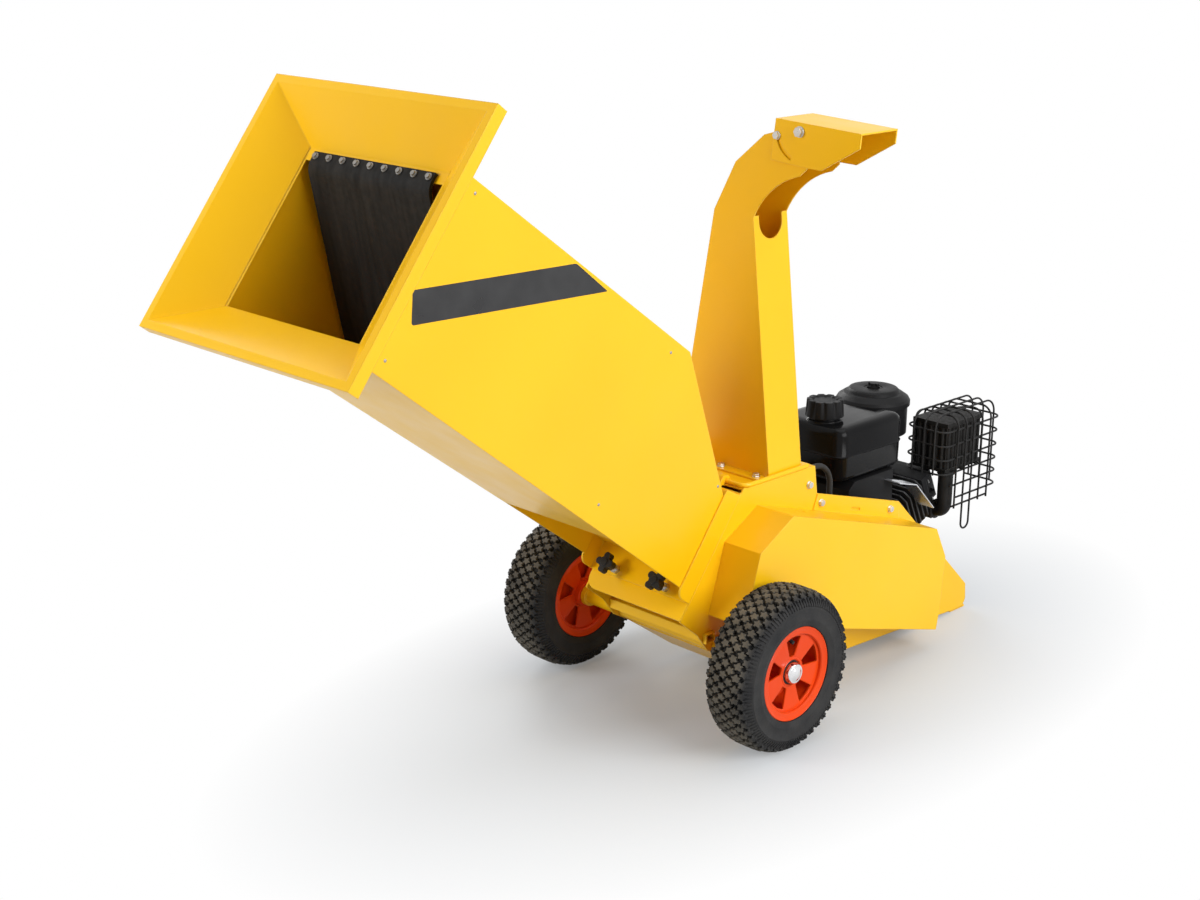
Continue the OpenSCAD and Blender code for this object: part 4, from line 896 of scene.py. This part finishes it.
def film_black(name):
    """Thin satin vinyl with a faint lift and haze."""
    finish, tree, shader, place = new_finish(name)
    haze = clouds(tree, place, 30.0, 4.0)
    tree.links.new(tint(tree, spread(tree, haze, 0.0, 1.0), (0.010, 0.010, 0.011), (0.018, 0.018, 0.019)),
                   shader.inputs["Base Color"])
    tree.links.new(spread(tree, haze, 0.26, 0.38), shader.inputs["Roughness"])
    relief(tree, shader, clouds(tree, place, 180.0, 2.0), 0.00003)
    return finish


band_corners = [(0.106, -0.067), (0.398, 0.138), (0.318, 0.138), (0.081, -0.030)]
film_lift = 0.0001
film_t = 0.0004
bpy.ops.object.select_all(action="DESELECT")
bpy.ops.mesh.primitive_plane_add(size=1.0)
band = bpy.context.object
band.name = "hopper_band"
for corner, (along, height) in zip((0, 1, 3, 2), band_corners):
    at, normal = on_hopper_side(along, height, 1)
    band.data.vertices[corner].co = at + normal * film_lift
only(band)
bpy.ops.object.mode_set(mode="EDIT")
bpy.ops.mesh.select_all(action="SELECT")
bpy.ops.mesh.normals_make_consistent(inside=False)
bpy.ops.mesh.bevel(offset=0.004, segments=4, affect="VERTICES")
bpy.ops.object.mode_set(mode="OBJECT")
film = band.modifiers.new("film", "SOLIDIFY")
film.thickness = film_t
film.offset = 1.0
bpy.ops.object.modifier_apply(modifier="film")
dress(band, film_black("band_film"), "hopper", "black_plastic")


# Rubber curtain
# One black rubber sheet that hangs in the throat and keeps chips from flying back out.
# Its upper edge is clamped flat by nine screws with washers, and below them it bends and hangs free.

curtain_rubber = soft_rubber("curtain_rubber", (0.005, 0.005, 0.005), (0.017, 0.016, 0.015), 0.6, 0.0001,
                             (5.0, 0.4, 0.4))
curtain_w = 0.248
curtain_clamped = 0.021
curtain_drop = 0.300
curtain_bend = 0.010
curtain_t = 0.0045
curtain_rows = 80
curtain_columns = 48
flute_depth = 0.0018
flute_waves = 3.5
flute_start = 0.6
bow_depth = 0.0024
edge_wave = 0.006
edge_waves = 13.0
curtain_lean = math.radians(12.0)
hinge = Vector((0.0, -0.5815, 0.9154))
downwards = Vector((0.0, math.sin(curtain_lean), -math.cos(curtain_lean)))
outwards = Vector((0.0, -math.cos(curtain_lean), -math.sin(curtain_lean)))
step = (curtain_clamped + curtain_drop) / curtain_rows
course = [hinge + across_feed * curtain_clamped]
for row in range(curtain_rows):
    past_hinge = (row + 0.5) * step - curtain_clamped
    turned_by = min(1.0, max(0.0, 0.5 + past_hinge / (2.0 * curtain_bend)))
    course.append(course[-1] + (-across_feed).lerp(downwards, turned_by).normalized() * step)
bpy.ops.object.select_all(action="DESELECT")
bpy.ops.mesh.primitive_grid_add(x_subdivisions=curtain_columns, y_subdivisions=curtain_rows, size=1.0)
curtain = bpy.context.object
curtain.name = "hanging_curtain"
for point in curtain.data.vertices:
    row = round((0.5 - point.co.y) * curtain_rows)
    share = max(0.0, row * step - curtain_clamped) / curtain_drop
    flute = flute_depth * share * math.sin(point.co.x * math.tau * flute_waves + flute_start)
    bow = bow_depth * share * share * math.cos(point.co.x * math.pi)
    wave = 1.0 + edge_wave * share * math.sin(share * edge_waves)
    across = Vector((point.co.x * curtain_w * wave, 0.0, 0.0))
    point.co = course[row] + across + outwards * (flute + bow)
only(curtain)
sheet = curtain.modifiers.new("sheet", "SOLIDIFY")
sheet.thickness = curtain_t
sheet.offset = 0.0
bpy.ops.object.modifier_apply(modifier="sheet")
smoothed(curtain, 40.0)
curtain.data.materials.append(curtain_rubber)
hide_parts("rubber_curtain", "curtain_strip")
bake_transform(curtain)
coat_node(dull_zinc, "curtain_screws")
coat_node(zinc, "clamp_stud_left", "clamp_stud_right")


# Star knobs
# Four-lobed black plastic knobs on threaded studs that clamp the hopper to the body.
# They are moulded with a fine matt grain and turned by hand.

knob_black = moulded("knob_black", (0.010, 0.010, 0.010), (0.018, 0.018, 0.018), rough=0.45, grain=0.00005)
coat_node(knob_black, "star_knob_left", "star_knob_right")


# Studio floor, light and camera
# A pale floor that fades to white away from the machine, broad soft lamps and a longish lens. Near the
# machine the floor's grey, cool-tinted base paints a soft shadow in an oval, over the real shadows, and a
# faint painted glow lightens that shade.

bpy.ops.object.select_all(action="DESELECT")
bpy.ops.mesh.primitive_plane_add(size=80.0, location=(0.0, 0.0, 0.0))
floor = bpy.context.object
floor.name = "studio_floor"
floor_painted_shade, tree, shader, place = new_finish("studio_floor_painted_shade")
# grey, cool-tinted base: painted shade round the machine, its tint offsetting the yellow light thrown back
# onto the floor
shader.inputs["Base Color"].default_value = (0.50, 0.53, 0.56, 1.0)
shader.inputs["Roughness"].default_value = 0.7
shade_oval = tree.nodes.new("ShaderNodeMapping")
shade_oval.inputs["Location"].default_value = (0.0, -0.21, 0.0)
shade_oval.inputs["Scale"].default_value = (2.45, 1.28, 0.0)
tree.links.new(place, shade_oval.inputs["Vector"])
shade_oval_reach = tree.nodes.new("ShaderNodeVectorMath")
shade_oval_reach.operation = "LENGTH"
tree.links.new(shade_oval.outputs["Vector"], shade_oval_reach.inputs[0])
backdrop_and_painted_glow = tree.nodes.new("ShaderNodeEmission")
backdrop_and_painted_glow.inputs["Color"].default_value = (1.0, 1.0, 1.0, 1.0)
backdrop_and_painted_glow.inputs["Strength"].default_value = 1.0


def seen_rays(tree):
    """A mask of what the camera sees: straight on, in metal and gloss, or through glass."""
    path = tree.nodes.new("ShaderNodeLightPath")
    seen = path.outputs["Is Camera Ray"]
    for rays in (path.outputs["Is Glossy Ray"], path.outputs["Is Transmission Ray"]):
        either = tree.nodes.new("ShaderNodeMath")
        either.operation = "MAXIMUM"
        tree.links.new(seen, either.inputs[0])
        tree.links.new(rays, either.inputs[1])
        seen = either.outputs["Value"]
    return seen


# white glow from 0.15 inside the oval, a painted light in the shade under the machine, up to 1 beyond it
painted_shade_fade = spread(tree, shade_oval_reach.outputs["Value"], 0.15, 1.0, 0.5, 1.3)
painted_glow_share = times(tree, painted_shade_fade, seen_rays(tree))
blend = tree.nodes.new("ShaderNodeMixShader")
tree.links.new(painted_glow_share, blend.inputs[0])
tree.links.new(shader.outputs["BSDF"], blend.inputs[1])
tree.links.new(backdrop_and_painted_glow.outputs["Emission"], blend.inputs[2])
tree.links.new(blend.outputs["Shader"], tree.nodes["Material Output"].inputs["Surface"])
floor.data.materials.append(floor_painted_shade)

world = bpy.data.worlds.new("studio")
bpy.context.scene.world = world
world.use_nodes = True
sky = world.node_tree
ambient = sky.nodes["Background"]
ambient.inputs["Color"].default_value = (0.95, 0.97, 1.0, 1.0)
ambient.inputs["Strength"].default_value = 0.16
white = sky.nodes.new("ShaderNodeBackground")
white.inputs["Color"].default_value = (1.0, 1.0, 1.0, 1.0)
choose = sky.nodes.new("ShaderNodeMixShader")
sky.links.new(seen_rays(sky), choose.inputs[0])
sky.links.new(ambient.outputs["Background"], choose.inputs[1])
sky.links.new(white.outputs["Background"], choose.inputs[2])
sky.links.new(choose.outputs["Shader"], sky.nodes["World Output"].inputs["Surface"])


def lamp(name, at, towards, size, watts, mirrored=True):
    """A square soft lamp that faces a point, and that gloss mirrors or not."""
    light = bpy.data.lights.new(name, "AREA")
    light.size = size
    light.energy = watts
    holder = bpy.data.objects.new(name, light)
    bpy.context.collection.objects.link(holder)
    holder.location = at
    holder.rotation_euler = (Vector(towards) - Vector(at)).to_track_quat("-Z", "Y").to_euler()
    holder.visible_glossy = mirrored


lamp("side_lamp", (3.3, 0.3, 2.0), (0.0, 0.0, 0.45), 2.6, 146.0)
lamp("top_lamp", (0.4, 0.7, 3.4), (0.0, 0.1, 0.4), 2.6, 38.0)
lamp("front_lamp", (-1.2, -2.6, 1.6), (0.0, -0.3, 0.85), 1.2, 54.0, mirrored=False)
lamp("rear_lamp", (-3.2, 1.3, 2.0), (0.0, 0.1, 0.5), 2.0, 56.0)

view_turn = math.radians(45.217)
view_rise = math.radians(17.345)
view_roll = math.radians(0.371)
view_from = Vector((1.886, -2.032, 1.290))
back = Vector((math.sin(view_turn) * math.cos(view_rise), -math.cos(view_turn) * math.cos(view_rise),
               math.sin(view_rise)))
level = Vector((0.0, 0.0, 1.0)).cross(back).normalized()
upright = back.cross(level)
right = level * math.cos(view_roll) + upright * math.sin(view_roll)
up = upright * math.cos(view_roll) - level * math.sin(view_roll)
lens = bpy.data.cameras.new("photo_camera")
lens.sensor_fit = "HORIZONTAL"
lens.sensor_width = 36.0
lens.lens = 55.74
camera = bpy.data.objects.new("photo_camera", lens)
bpy.context.collection.objects.link(camera)
stand = Matrix((right, up, back)).transposed().to_4x4()
stand.translation = view_from
camera.matrix_world = stand
bpy.context.scene.camera = camera
bpy.context.scene.view_settings.view_transform = "Standard"
